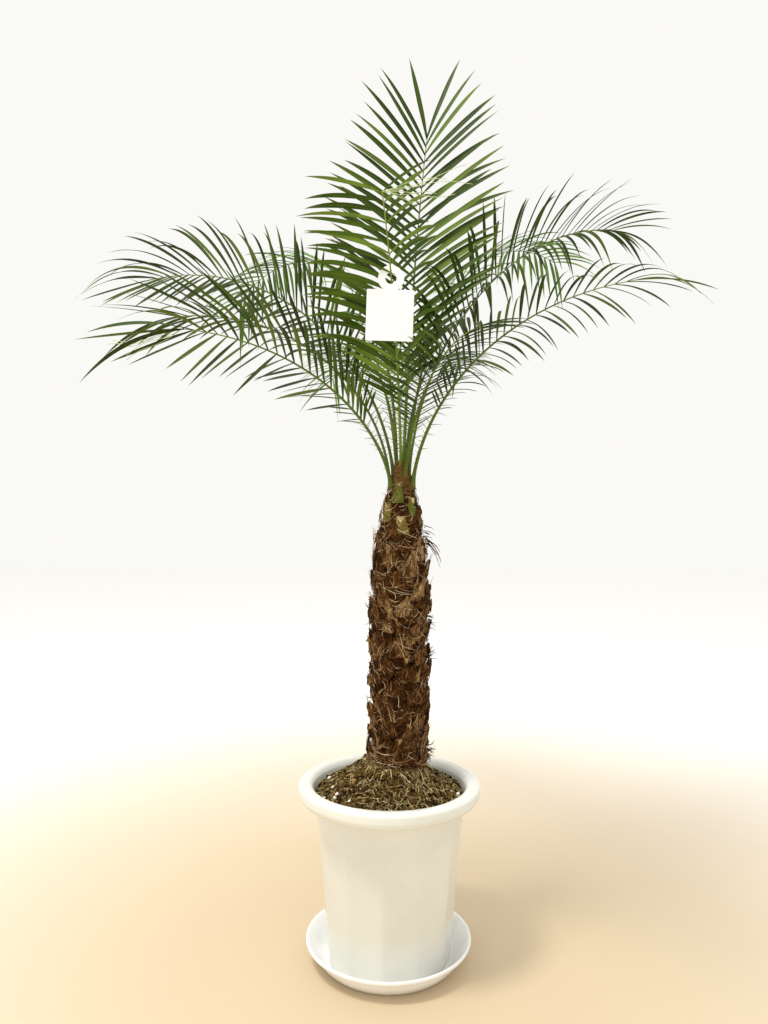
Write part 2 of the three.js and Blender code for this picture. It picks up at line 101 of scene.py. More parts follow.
def srgb(red: int, green: int, blue: int) -> Colour:
    """Returns the linear colour of an sRGB one in 0 to 255: ((c + 0.055) / 1.055)^2.4."""
    linear = [((c / 255 + 0.055) / 1.055) ** 2.4 for c in (red, green, blue)]
    return (linear[0], linear[1], linear[2], 1.0)


def value_noise(points: Array, seed: int = 0) -> Array:
    """Smooth noise from -1 to 1: hashed lattice values, blended by the smooth step along each axis.

    Args:
        points: Places, (..., 3), in lattice units.
        seed: Which lattice is used.

    Returns:
        One value per place.
    """
    cell = np.floor(points)
    share = smooth(points - cell)
    total = np.zeros(points.shape[:-1])
    for corner in np.ndindex(2, 2, 2):
        at = cell + np.array(corner)
        key = at[..., 0] * 127.1 + at[..., 1] * 311.7 + at[..., 2] * 74.7 + seed * 19.19
        weight = np.prod(np.where(np.array(corner) == 1, share, 1.0 - share), axis=-1)
        total = total + weight * wobble(key)
    return total


# ------------------------------------------------------------------ shapes
@dataclass
class Shape:
    """A closed mesh as arrays: points, faces grouped by their number of corners, their finishes and UVs."""

    points: Array
    faces: list[Array]
    tones: list[Array]
    uvs: list[Array]

    @staticmethod
    def joined(shapes: Sequence["Shape"]) -> "Shape":
        """Puts several shapes into one.

        Args:
            shapes: The shapes, in order.

        Returns:
            One shape that holds them all.
        """
        offsets = np.cumsum([0] + [len(s.points) for s in shapes[:-1]])
        return Shape(
            np.concatenate([s.points for s in shapes]),
            [f + o for s, o in zip(shapes, offsets) for f in s.faces],
            [t for s in shapes for t in s.tones],
            [u for s in shapes for u in s.uvs],
        )

    def toned(self, tone: Array, tip: int | None = None) -> "Shape":
        """Gives each of a row of like tubes its finish.

        Args:
            tone: Each tube's finish, as its place in the piece's list.
            tip: The finish of the faces at the tips, where that is another.

        Returns:
            The shape itself.
        """
        self.tones = [np.repeat(tone, len(f) // len(tone)) for f in self.faces]
        if tip is not None:
            self.tones[2][:] = tip
        return self


def tubes(rings: Array, closed_loop: bool = False) -> Shape:
    """Closed tubes through rings of points that run counter-clockwise round the way each tube goes.

    Args:
        rings: Points, (tubes, rows, sides, 3).
        closed_loop: Whether the last ring joins the first, as on a torus, so that there are no ends.

    Returns:
        The shape; UV x is 0 to 1 round a ring and UV y is 0 to 1 along the tube.
    """
    count, rows, sides, _ = rings.shape
    base = np.arange(count)[:, None, None] * rows * sides
    steps = rows if closed_loop else rows - 1
    row = np.arange(steps)[None, :, None]
    side = np.arange(sides)[None, None, :]
    ahead, beside = (row + 1) % rows, (side + 1) % sides
    corners = [(row, side), (row, beside), (ahead, beside), (ahead, side)]
    quads = np.stack([base + r * sides + s for r, s in corners], axis=-1).reshape(-1, 4)
    u = np.stack([side, side + 1, side + 1, side], -1) / sides + 0.0 * row[..., None]
    v = np.stack([row, row, row + 1, row + 1], -1) / steps + 0.0 * side[..., None]
    uv = np.broadcast_to(np.stack([u, v], -1), (count, steps, sides, 4, 2)).reshape(-1, 4, 2)
    faces, uvs = [quads], [uv]
    if not closed_loop:
        around = np.arange(sides)[None, :]
        foot = base[:, 0] + around[:, ::-1]
        tip = base[:, 0] + (rows - 1) * sides + around
        faces += [foot, tip]
        uvs += [np.zeros((count, sides, 2)), np.broadcast_to([0.5, 1.0], (count, sides, 2))]
    return Shape(rings.reshape(-1, 3), faces, [np.zeros(len(f), np.int32) for f in faces], uvs)


def strands(paths: Array, radii: Array, sides: int = 3) -> Shape:
    """Thin round tubes along paths: each ring is the path's point plus radius times the turned normal.

    Args:
        paths: Points along each strand, (strands, rows, 3).
        radii: Radius at each point, broadcast to (strands, rows).
        sides: How many sides each has.

    Returns:
        The shape.
    """
    along = unit(np.gradient(paths, axis=1))
    spare = np.where(np.abs(along[..., 2:]) < 0.9, [0.0, 0.0, 1.0], [1.0, 0.0, 0.0])
    first = unit(np.cross(along, spare))
    second = np.cross(along, first)
    turn = full_circle(sides)
    ring = first[:, :, None] * np.cos(turn)[:, None] + second[:, :, None] * np.sin(turn)[:, None]
    thick = np.broadcast_to(radii, paths.shape[:2])[..., None, None]
    return tubes(paths[:, :, None] + ring * thick)


def turned(profile: Array, steps: int) -> Shape:
    """A closed surface of revolution round Z: each [radius, height] of the profile goes round the axis.

    Args:
        profile: Points from the foot's middle, out and up round the section, to a last one near the axis.
        steps: How many steps go round.

    Returns:
        The shape, with a small flat face where each end meets the axis.
    """
    turn = full_circle(steps)
    radius, height = profile[:, :1], profile[:, 1:]
    return tubes(points_of(radius * np.cos(turn), radius * np.sin(turn), height)[None])


def rounded(corners: Sequence[tuple[float, float, float]], steps: int = 6) -> Array:
    """A profile with rounded corners: each is the quadratic curve between two points a radius away from it.

    Args:
        corners: [x, y, radius] of each corner, the first and last kept sharp.
        steps: How many steps each curve has.

    Returns:
        The profile's points.
    """
    points = np.array([c[:2] for c in corners])
    out = [points[:1]]
    t = np.linspace(0.0, 1.0, steps + 1)[:, None]
    for k in range(1, len(corners) - 1):
        before, here, after = points[k - 1 : k + 2]
        reach = min(corners[k][2], 0.48 * math.dist(before, here), 0.48 * math.dist(here, after))
        start = here + unit(before - here) * reach
        end = here + unit(after - here) * reach
        out.append((1 - t) ** 2 * start + 2 * t * (1 - t) * here + t**2 * end)
    out.append(points[-1:])
    return np.concatenate(out)


def linked(name: str, data: Any) -> bpy.types.Object:
    """Returns a new object that holds the data, linked into the scene."""
    made = bpy.data.objects.new(name, data)
    bpy.context.scene.collection.objects.link(made)
    return made


@dataclass
class Piece:
    """One Blender object: its shape, its finishes, a slot name that is not used, and the CAD nodes that it
    stands for.
    """

    name: str
    shape: Shape
    finishes: Sequence["Finish"]
    slot: str
    nodes: Sequence[str] = ()
    smooth_faces: bool = True
    creased_sides: int = 0

    def place(self) -> None:
        """Makes the object, sets its materials and lets it ride on the plant's one body."""
        mesh = bpy.data.meshes.new(self.name)
        faces = self.shape.faces
        loops = np.concatenate([f.ravel() for f in faces]).astype(np.int32)
        totals = np.concatenate([np.full(len(f), f.shape[1]) for f in faces])
        mesh.vertices.add(len(self.shape.points))
        mesh.vertices.foreach_set("co", self.shape.points.astype(np.float32).ravel())
        mesh.loops.add(len(loops))
        mesh.loops.foreach_set("vertex_index", loops)
        mesh.polygons.add(len(totals))
        starts = np.concatenate([[0], np.cumsum(totals)[:-1]]).astype(np.int32)
        mesh.polygons.foreach_set("loop_start", starts)
        mesh.polygons.foreach_set("material_index", np.concatenate(self.shape.tones).astype(np.int32))
        mesh.polygons.foreach_set("use_smooth", np.full(len(totals), self.smooth_faces))
        mesh.update(calc_edges=True)
        layer = mesh.uv_layers.new(name="UVMap")
        layer.data.foreach_set("uv", np.concatenate([u.reshape(-1, 2) for u in self.shape.uvs]).ravel())
        if self.creased_sides:
            self.crease(mesh)
        mesh.validate()
        for finish in self.finishes:
            mesh.materials.append(finish.material())
        body = linked(self.name, mesh)
        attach(body, "root")
        if self.nodes:
            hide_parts(*self.nodes)
        LOG.info("%s: %d triangles", self.name, int((totals - 2).sum()))

    def crease(self, mesh: bpy.types.Mesh) -> None:
        """Marks the edges that run along each tube as sharp: their two points are one ring apart.

        Args:
            mesh: The mesh of tubes, whose rings all have creased_sides points.
        """
        ends = np.zeros(len(mesh.edges) * 2, np.int32)
        mesh.edges.foreach_get("vertices", ends)
        apart = np.abs(np.diff(ends.reshape(-1, 2), axis=1))[:, 0]
        sharp = mesh.attributes.new("sharp_edge", "BOOLEAN", "EDGE")
        sharp.data.foreach_set("value", apart == self.creased_sides)


# ------------------------------------------------------------------ shader helpers
class Value:
    """A number socket of a node tree; arithmetic on it adds Math nodes."""

    def __init__(self, nodes: "Nodes", socket: bpy.types.NodeSocket) -> None:
        """Keeps the tree's helper and the socket."""
        self.nodes = nodes
        self.socket = socket

    def math(self, operation: str, *inputs: Any) -> "Value":
        """Returns the result of a Math node with these inputs."""
        return self.nodes.add("ShaderNodeMath", {"operation": operation}, list(inputs))

    def __add__(self, other: Any) -> "Value":
        """Returns self + other."""
        return self.math("ADD", self, other)

    __radd__ = __add__

    def __mul__(self, other: Any) -> "Value":
        """Returns self times other."""
        return self.math("MULTIPLY", self, other)

    def __pow__(self, other: Any) -> "Value":
        """Returns self to the power other."""
        return self.math("POWER", self, other)

    def between(self, low: float, high: float) -> "Value":
        """Returns 0 below low, 1 above high and a smooth ramp between."""
        inputs = {"Value": self, "From Min": low, "From Max": high}
        return self.nodes.add("ShaderNodeMapRange", {"interpolation_type": "SMOOTHSTEP"}, inputs)


class Nodes:
    """A material's node tree and the one method that adds nodes to it."""

    def __init__(self, material: bpy.types.Material) -> None:
        """Clears the tree and adds its output and shader.

        Args:
            material: The material, new or to be made anew.
        """
        material.use_nodes = True
        self.tree = material.node_tree
        self.tree.nodes.clear()
        output = self.tree.nodes.new("ShaderNodeOutputMaterial")
        self.shader = self.tree.nodes.new("ShaderNodeBsdfPrincipled")
        self.tree.links.new(self.shader.outputs[0], output.inputs[0])

    def add(self, kind: str, settings: dict[str, Any], inputs: Any, output: int | str = 0) -> Value:
        """Adds a node.

        Args:
            kind: The node's type.
            settings: Its properties, which are set first.
            inputs: Values or constants for its inputs, by name or place in a dict, or in order in a list.
            output: Which output is returned.

        Returns:
            That output.
        """
        node = self.tree.nodes.new(kind)
        for key, value in settings.items():
            setattr(node, key, value)
        pairs = inputs.items() if isinstance(inputs, dict) else enumerate(inputs)
        for key, value in pairs:
            self.feed(node.inputs[key], value)
        return Value(self, node.outputs[output])

    def feed(self, socket: bpy.types.NodeSocket, value: Any) -> None:
        """Links a Value to the socket, or sets a constant on it.

        Args:
            socket: The input.
            value: What it gets.
        """
        if isinstance(value, Value):
            self.tree.links.new(value.socket, socket)
        else:
            socket.default_value = value

    def place(self, scale: tuple[float, float, float] = (1.0, 1.0, 1.0)) -> Value:
        """Returns object coordinates, scaled along each axis by a Mapping node."""
        where = self.add("ShaderNodeTexCoord", {}, {}, "Object")
        return self.add("ShaderNodeMapping", {}, {"Vector": where, "Scale": scale})

    def part(self, where: Value, axis: int) -> Value:
        """Returns one coordinate of a place: 0 is x, 1 is y and 2 is z."""
        return self.add("ShaderNodeSeparateXYZ", {}, [where], axis)

    def noise(self, where: Value, scale: float, detail: float = 4.0, rough: float = 0.55) -> Value:
        """Returns fractal noise from 0 to 1 at the coordinates."""
        inputs = {"Vector": where, "Scale": scale, "Detail": detail, "Roughness": rough}
        return self.add("ShaderNodeTexNoise", {}, inputs, "Fac")

    def blend(self, a: Any, b: Any, share: Any) -> Value:
        """Returns the colour that lies a share of the way from a to b, through a Mix node."""
        return self.add("ShaderNodeMix", {"data_type": "RGBA"}, {0: share, 6: a, 7: b}, 2)

    def bump(self, height: Value, distance: float, strength: float = 1.0) -> None:
        """Feeds the shader's normal with relief of that height in metres."""
        inputs = {"Height": height, "Distance": distance, "Strength": strength}
        self.feed(self.shader.inputs["Normal"], self.add("ShaderNodeBump", {}, inputs))

    def surface(self, **values: Any) -> None:
        """Sets the shader's sockets; an underscore in a name stands for a space."""
        for key, value in values.items():
            self.feed(self.shader.inputs[key.replace("_", " ")], value)


@dataclass(frozen=True)
class Finish:
    """A finish: a name, a main colour and how rough it is."""

    name: str
    colour: Colour
    rough: float = 0.5

    def material(self) -> bpy.types.Material:
        """Makes the Blender material of this finish at its first use.

        Returns:
            The material.
        """
        known = bpy.data.materials.get(self.name)
        if known:
            return known
        made = bpy.data.materials.new(self.name)
        self.paint(Nodes(made))
        return made

    def darker(self, share: float) -> Colour:
        """Returns the finish's colour with its channels multiplied by a share."""
        red, green, blue, _ = self.colour
        return (red * share, green * share, blue * share, 1.0)

    def paint(self, nodes: Nodes) -> None:
        """Sets the shader: the colour, mottled a seventh darker; the other kinds do their own.

        Args:
            nodes: The material's nodes.
        """
        mottle = nodes.noise(nodes.place(), 90.0, 4.0)
        nodes.surface(Base_Color=nodes.blend(self.colour, self.darker(0.86), mottle.between(0.3, 0.7)))
        nodes.surface(Roughness=self.rough - 0.04 + mottle * 0.08, Specular_IOR_Level=0.1)


@dataclass(frozen=True)
class Moulded(Finish):
    """Glossy moulded plastic: an even colour, faint clouding, fine scuffs and a soft orange peel."""

    def paint(self, nodes: Nodes) -> None:
        """Sets the shader.

        Args:
            nodes: The material's nodes.
        """
        where = nodes.place()
        cloud = nodes.noise(where, 9.0, 3.0)
        dust = nodes.noise(nodes.place((1, 1, 0.25)), 60.0, 5.0, 0.7).between(0.56, 0.8)
        tint = nodes.blend(self.colour, self.darker(0.93), cloud.between(0.35, 0.75))
        nodes.surface(Base_Color=nodes.blend(tint, srgb(214, 204, 180), dust * 0.10))
        nodes.surface(Roughness=self.rough + cloud * 0.08 + dust * 0.16, Coat_Weight=0.35)
        nodes.surface(Coat_Roughness=0.08, IOR=1.5)
        nodes.bump(nodes.noise(where, 340.0, 2.0), 0.00003)


@dataclass(frozen=True)
class Loam(Finish):
    """Moist potting soil: dark crumbs, brown bark bits and olive patches of moss."""

    def paint(self, nodes: Nodes) -> None:
        """Sets the shader.

        Args:
            nodes: The material's nodes.
        """
        where = nodes.place()
        crumb = nodes.noise(where, 260.0, 8.0, 0.7)
        patch = nodes.noise(where, 22.0, 3.0)
        brown = nodes.blend(self.colour, srgb(104, 76, 42), crumb.between(0.42, 0.72))
        nodes.surface(Base_Color=nodes.blend(brown, srgb(92, 88, 40), patch.between(0.52, 0.7) * 0.55))
        nodes.surface(Roughness=self.rough, Specular_IOR_Level=0.05)
        nodes.bump(crumb + nodes.noise(where, 700.0, 4.0) * 0.5, 0.003)


@dataclass(frozen=True)
class Fibrous(Finish):
    """Dry fibrous bark: streaks along one direction, darkened in its grooves as painted shade, and paler on
    its ridges.
    """

    pale: Colour = srgb(140, 110, 76)
    stretch: tuple[float, float, float] = (1.0, 1.0, 0.16)

    def paint(self, nodes: Nodes) -> None:
        """Sets the shader.

        Args:
            nodes: The material's nodes.
        """
        streak = nodes.noise(nodes.place(self.stretch), 420.0, 6.0, 0.65)
        patch = nodes.noise(nodes.place(), 45.0, 4.0)
        ridge = streak.between(0.45, 0.75)
        tint = nodes.blend(self.colour, self.pale, ridge * (0.25 + patch * 0.75))
        # Painted shade: the grooves, low in the same streaks that make the bump, go nearly black.
        nodes.surface(Base_Color=nodes.blend(tint, srgb(34, 16, 2), streak.between(0.52, 0.34) * 0.8))
        nodes.surface(Roughness=self.rough, Specular_IOR_Level=0.08)
        nodes.bump(streak, 0.0012)


@dataclass(frozen=True)
class Cut(Finish):
    """A pruning cut: pale pith with browner stains and fine vessel dots."""

    def paint(self, nodes: Nodes) -> None:
        """Sets the shader.

        Args:
            nodes: The material's nodes.
        """
        dots = nodes.noise(nodes.place(), 1500.0, 2.0).between(0.55, 0.7)
        stain = nodes.noise(nodes.place(), 160.0, 3.0).between(0.45, 0.75)
        tint = nodes.blend(self.colour, srgb(176, 140, 82), stain * 0.6)
        nodes.surface(Base_Color=nodes.blend(tint, srgb(120, 92, 50), dots * 0.5), Roughness=self.rough)
        nodes.bump(dots, 0.0004)


@dataclass(frozen=True)
class Blade(Finish):
    """A leaflet or leaf stalk: green with a paler midrib, a yellower tip and fine veins along it."""

    tip: Colour = srgb(104, 116, 48)
    vein: Colour = srgb(116, 134, 62)
    veins: float = 34.0

    def paint(self, nodes: Nodes) -> None:
        """Sets the shader; UV x is 0 at a leaflet's edges and 1 at its midrib, UV y runs from foot to tip.

        Args:
            nodes: The material's nodes.
        """
        where = nodes.add("ShaderNodeTexCoord", {}, {}, "UV")
        across, along = nodes.part(where, 0), nodes.part(where, 1)
        shade = nodes.noise(nodes.place(), 14.0, 3.0)
        tint = nodes.blend(self.colour, self.darker(0.72), shade.between(0.35, 0.7))
        tint = nodes.blend(tint, self.tip, along.between(0.72, 1.0) * 0.7)
        nodes.surface(Base_Color=nodes.blend(tint, self.vein, across.between(0.86, 1.0) * 0.45))
        nodes.surface(Roughness=self.rough + shade * 0.12, Specular_IOR_Level=0.12)
        nodes.bump(across.math("SINE", across * self.veins), 0.00012, 0.6)


@dataclass(frozen=True)
class Paper(Finish):
    """Matt card: nearly white, with faint fibre flecks and a fine tooth."""

    def paint(self, nodes: Nodes) -> None:
        """Sets the shader.

        Args:
            nodes: The material's nodes.
        """
        fleck = nodes.noise(nodes.place((1, 1, 0.4)), 900.0, 3.0)
        nodes.surface(Base_Color=nodes.blend(self.colour, self.darker(0.95), fleck.between(0.5, 0.8)))
        nodes.surface(Roughness=self.rough + fleck * 0.1)
        nodes.bump(fleck, 0.00004)


@dataclass(frozen=True)
class PaleFloor(Finish):
    """A plain matt floor, warm near the pot and fading to white further out."""

    far: Colour = srgb(254, 254, 251)

    def paint(self, nodes: Nodes) -> None:
        """Sets the shader; the fade follows the distance from the middle, the root of x^2 + y^2.

        Args:
            nodes: The material's nodes.
        """
        where = nodes.place()
        x, y = nodes.part(where, 0), nodes.part(where, 1)
        away = (x * x + y * y) ** 0.5
        nodes.surface(Base_Color=nodes.blend(self.colour, self.far, away.between(0.25, 2.4)))
        nodes.surface(Roughness=self.rough)
        nodes.bump(nodes.noise(where, 300.0, 3.0), 0.0002)


class LeafTone(Enum):
    """The greens of the crown: new fronds are yellower, shaded ones deeper, and backlit ones brighter."""

    FRESH = "fresh"
    GREEN = "green"
    DEEP = "deep"
    BACKLIT = "backlit"


class Palette:
    """Every finish on the plant, and the floor's."""

    # One white plastic in two copies: the pot's greyer as painted shade, the saucer's brighter as painted
    # light.
    GLAZE_PAINTED_SHADE = Moulded("pot_plastic", srgb(230, 230, 221), 0.18)
    DISH_PAINTED_LIGHT = Moulded("saucer_plastic", srgb(252, 253, 252), 0.16)
    LOAM = Loam("loam", srgb(40, 24, 6), 0.92)
    CRUMBS = (
        Finish("crumb_black", srgb(38, 22, 6), 0.95),
        Finish("crumb_brown", srgb(92, 60, 26), 0.95),
        Finish("crumb_olive", srgb(102, 94, 42), 0.95),
        Finish("crumb_tan", srgb(164, 134, 84), 0.95),
    )
    PERLITE = Finish("perlite", srgb(250, 247, 236), 0.85)
    ROOTS = (
        Finish("root_dark", srgb(78, 54, 20), 0.8),
        Finish("root_tan", srgb(148, 123, 72), 0.75),
        Finish("root_pale", srgb(222, 206, 157), 0.7),
    )
    CORE = Fibrous("trunk_core", srgb(53, 28, 7), 0.95, srgb(106, 70, 34), (1.0, 1.0, 3.0))
    BOOTS = (
        Fibrous("leaf_base_dark", srgb(76, 46, 17), 0.92, srgb(148, 108, 66)),
        Fibrous("leaf_base_brown", srgb(108, 71, 33), 0.9, srgb(186, 148, 104)),
        Fibrous("leaf_base_tan", srgb(148, 113, 68), 0.88, srgb(226, 195, 152)),
        Cut("old_cut", srgb(154, 118, 72), 0.9),
    )
    STUBS = (
        Blade("stub_green", srgb(92, 104, 34), 0.5, srgb(128, 124, 56), srgb(116, 126, 54)),
        Blade("stub_olive", srgb(122, 110, 50), 0.6, srgb(150, 132, 76), srgb(140, 124, 66)),
        Cut("fresh_cut", srgb(226, 206, 148), 0.7),
    )
    FIBRES = (
        Finish("fibre_dark", srgb(58, 30, 8), 0.85),
        Finish("fibre_brown", srgb(122, 79, 40), 0.85),
        Finish("fibre_tan", srgb(198, 155, 105), 0.8),
        Finish("fibre_pale", srgb(245, 222, 182), 0.75),
    )
    SHEATH = (
        Fibrous("sheath_brown", srgb(98, 68, 32), 0.9, srgb(146, 118, 66), (1.0, 1.0, 2.0)),
        Finish("sheath_strand", srgb(136, 104, 58), 0.85),
    )
    CARD = Paper("card_stock", srgb(253, 252, 248), 0.62)
    FLOOR = PaleFloor("pale_floor", srgb(208, 188, 156), 0.65)
    THREAD = Finish("leaf_thread", srgb(186, 196, 142), 0.6)
    SPINE = Blade("spine", srgb(104, 112, 58), 0.5, srgb(120, 104, 60), srgb(120, 120, 70))
    LEAVES = {
        LeafTone.FRESH: (srgb(76, 102, 20), srgb(58, 80, 12), srgb(114, 138, 46)),
        LeafTone.GREEN: (srgb(58, 78, 16), srgb(44, 60, 10), srgb(88, 106, 34)),
        LeafTone.DEEP: (srgb(46, 68, 20), srgb(36, 54, 14), srgb(62, 84, 32)),
        LeafTone.BACKLIT: (srgb(98, 142, 58), srgb(78, 118, 42), srgb(130, 172, 88)),
    }

    @staticmethod
    def leaves(tone: LeafTone) -> list[Finish]:
        """Lists the greens that one frond's leaflets share.

        Args:
            tone: The frond's tone.

        Returns:
            Their three finishes.
        """
        return [
            Blade(f"leaflet_{tone.value}_{k + 1}", colour, 0.42)
            for k, colour in enumerate(Palette.LEAVES[tone])
        ]

    @staticmethod
    def stalk(tone: LeafTone) -> Finish:
        """Returns the finish of a frond's stalk: its palest green, or a green frond's where it is backlit."""
        green = Palette.LEAVES[LeafTone.GREEN if tone is LeafTone.BACKLIT else tone][2]
        return Blade(f"stalk_{tone.value}", green, 0.4, srgb(150, 158, 84), green, 8.0)


# ------------------------------------------------------------------ saucer and pot
@dataclass
class Saucer:
    """The saucer: a flat foot, a wall that leans out and a rolled lip."""

    foot_radius: float = 0.118
    lip_radius: float = 0.1475
    lip_height: float = 0.0387
    floor: float = 0.0043
    steps: int = 160

    def build(self) -> None:
        """Turns the section and places the piece."""
        foot, lip, top, floor = self.foot_radius, self.lip_radius, self.lip_height, self.floor
        profile = rounded([
            (NEAR_AXIS, 0.0, 0), (foot, 0.0, 0.004), (foot + 0.012, 0.0125, 0.012),
            (lip - 0.0095, 0.0295, 0.006), (lip, top - 0.006, 0.003), (lip - 0.0002, top, 0.002),
            (lip - 0.0042, top, 0.002), (lip - 0.012, top - 0.0105, 0.006), (foot + 0.007, 0.0135, 0.012),
            (foot - 0.004, floor, 0.009), (NEAR_AXIS, floor, 0),
        ])
        Piece("saucer_dish", turned(profile, self.steps), [Palette.DISH_PAINTED_LIGHT], "glaze", ["saucer"]).place()


@dataclass
class Pot:
    """The pot: twelve soft flat flutes that fade into a round neck, and a broad rolled rim."""

    foot: float = 0.0046
    foot_radius: float = 0.1115
    neck_radius: float = 0.134
    neck_height: float = 0.278
    rim_height: float = 0.315
    rim_outer: float = 0.162
    rim_inner: float = 0.135
    wall: float = 0.0065
    flutes: int = 12
    flute_turn: float = -5.0
    flute_fade: float = 0.82
    edge_softness: float = 0.02
    steps: int = 288

    def body_radius(self, height: Array) -> Array:
        """Returns the round wall's radius: from foot to neck, by the height's share to the power 1.15."""
        share = np.clip((height - self.foot) / (self.neck_height - self.foot), 0.0, 1.0)
        return mix(self.foot_radius, self.neck_radius, share**1.15)

    def profile(self) -> Array:
        """Works out the section: underside, outer wall, rolled rim and inner wall.

        Returns:
            Its points, [radius, height], from the middle below to the middle inside.
        """
        top, outer, inner = self.rim_height, self.rim_outer, self.rim_inner
        heights = np.linspace(self.foot + 0.004, self.neck_height - 0.004, 34)
        wall = np.stack([self.body_radius(heights), heights], -1)
        foot = rounded([
            (NEAR_AXIS, self.foot, 0), (self.foot_radius - 0.001, self.foot, 0.003),
            (self.foot_radius, self.foot + 0.004, 0),
        ])
        rim = rounded([
            (self.neck_radius, self.neck_height - 0.003, 0), (inner + 0.0015, top - 0.0295, 0.006),
            (outer - 0.007, top - 0.0285, 0.004), (outer, top - 0.021, 0.006),
            (outer - 0.0002, top - 0.004, 0.008), (outer - 0.008, top, 0.008),
            (inner + 0.006, top - 0.001, 0.006), (inner, top - 0.008, 0.004),
            (inner - 0.0045, top - 0.028, 0.01), (self.neck_radius - self.wall, self.neck_height - 0.016, 0),
        ], 8)
        deep = np.linspace(self.neck_height - 0.03, self.foot + 0.006, 8)
        inside = np.stack([self.body_radius(deep) - self.wall, deep], -1)
        return np.concatenate([foot[:-1], wall, rim, inside, [[NEAR_AXIS, self.foot + 0.0055]]])

    def build(self) -> None:
        """Turns the section, presses the flutes into the outer wall and places the piece.

        A flute's face is the chord between two edges: cos(half) / cos(angle from its middle). Near an edge
        the angle is rounded off by the root of its square and a small one's, so that the edge is soft.
        """
        shape = turned(self.profile(), self.steps)
        x, y, z = shape.points.T
        radius = np.hypot(x, y)
        half = math.pi / self.flutes
        turn = np.arctan2(y, x) - math.radians(self.flute_turn)
        within = np.abs(np.mod(turn, 2.0 * half) - half)
        edge = half - np.sqrt((half - within) ** 2 + self.edge_softness**2)
        flat = math.cos(half) / np.cos(edge)
        fade = 1.0 - smooth((z / self.neck_height - self.flute_fade) / (1.0 - self.flute_fade))
        outside = (radius > self.body_radius(z) - self.wall / 2) & (z < self.neck_height)
        shrink = np.where(outside, mix(1.0, flat, fade), 1.0)
        shape.points = np.stack([x * shrink, y * shrink, z], -1)
        Piece("fluted_pot", shape, [Palette.GLAZE_PAINTED_SHADE], "glaze", ["pot"]).place()


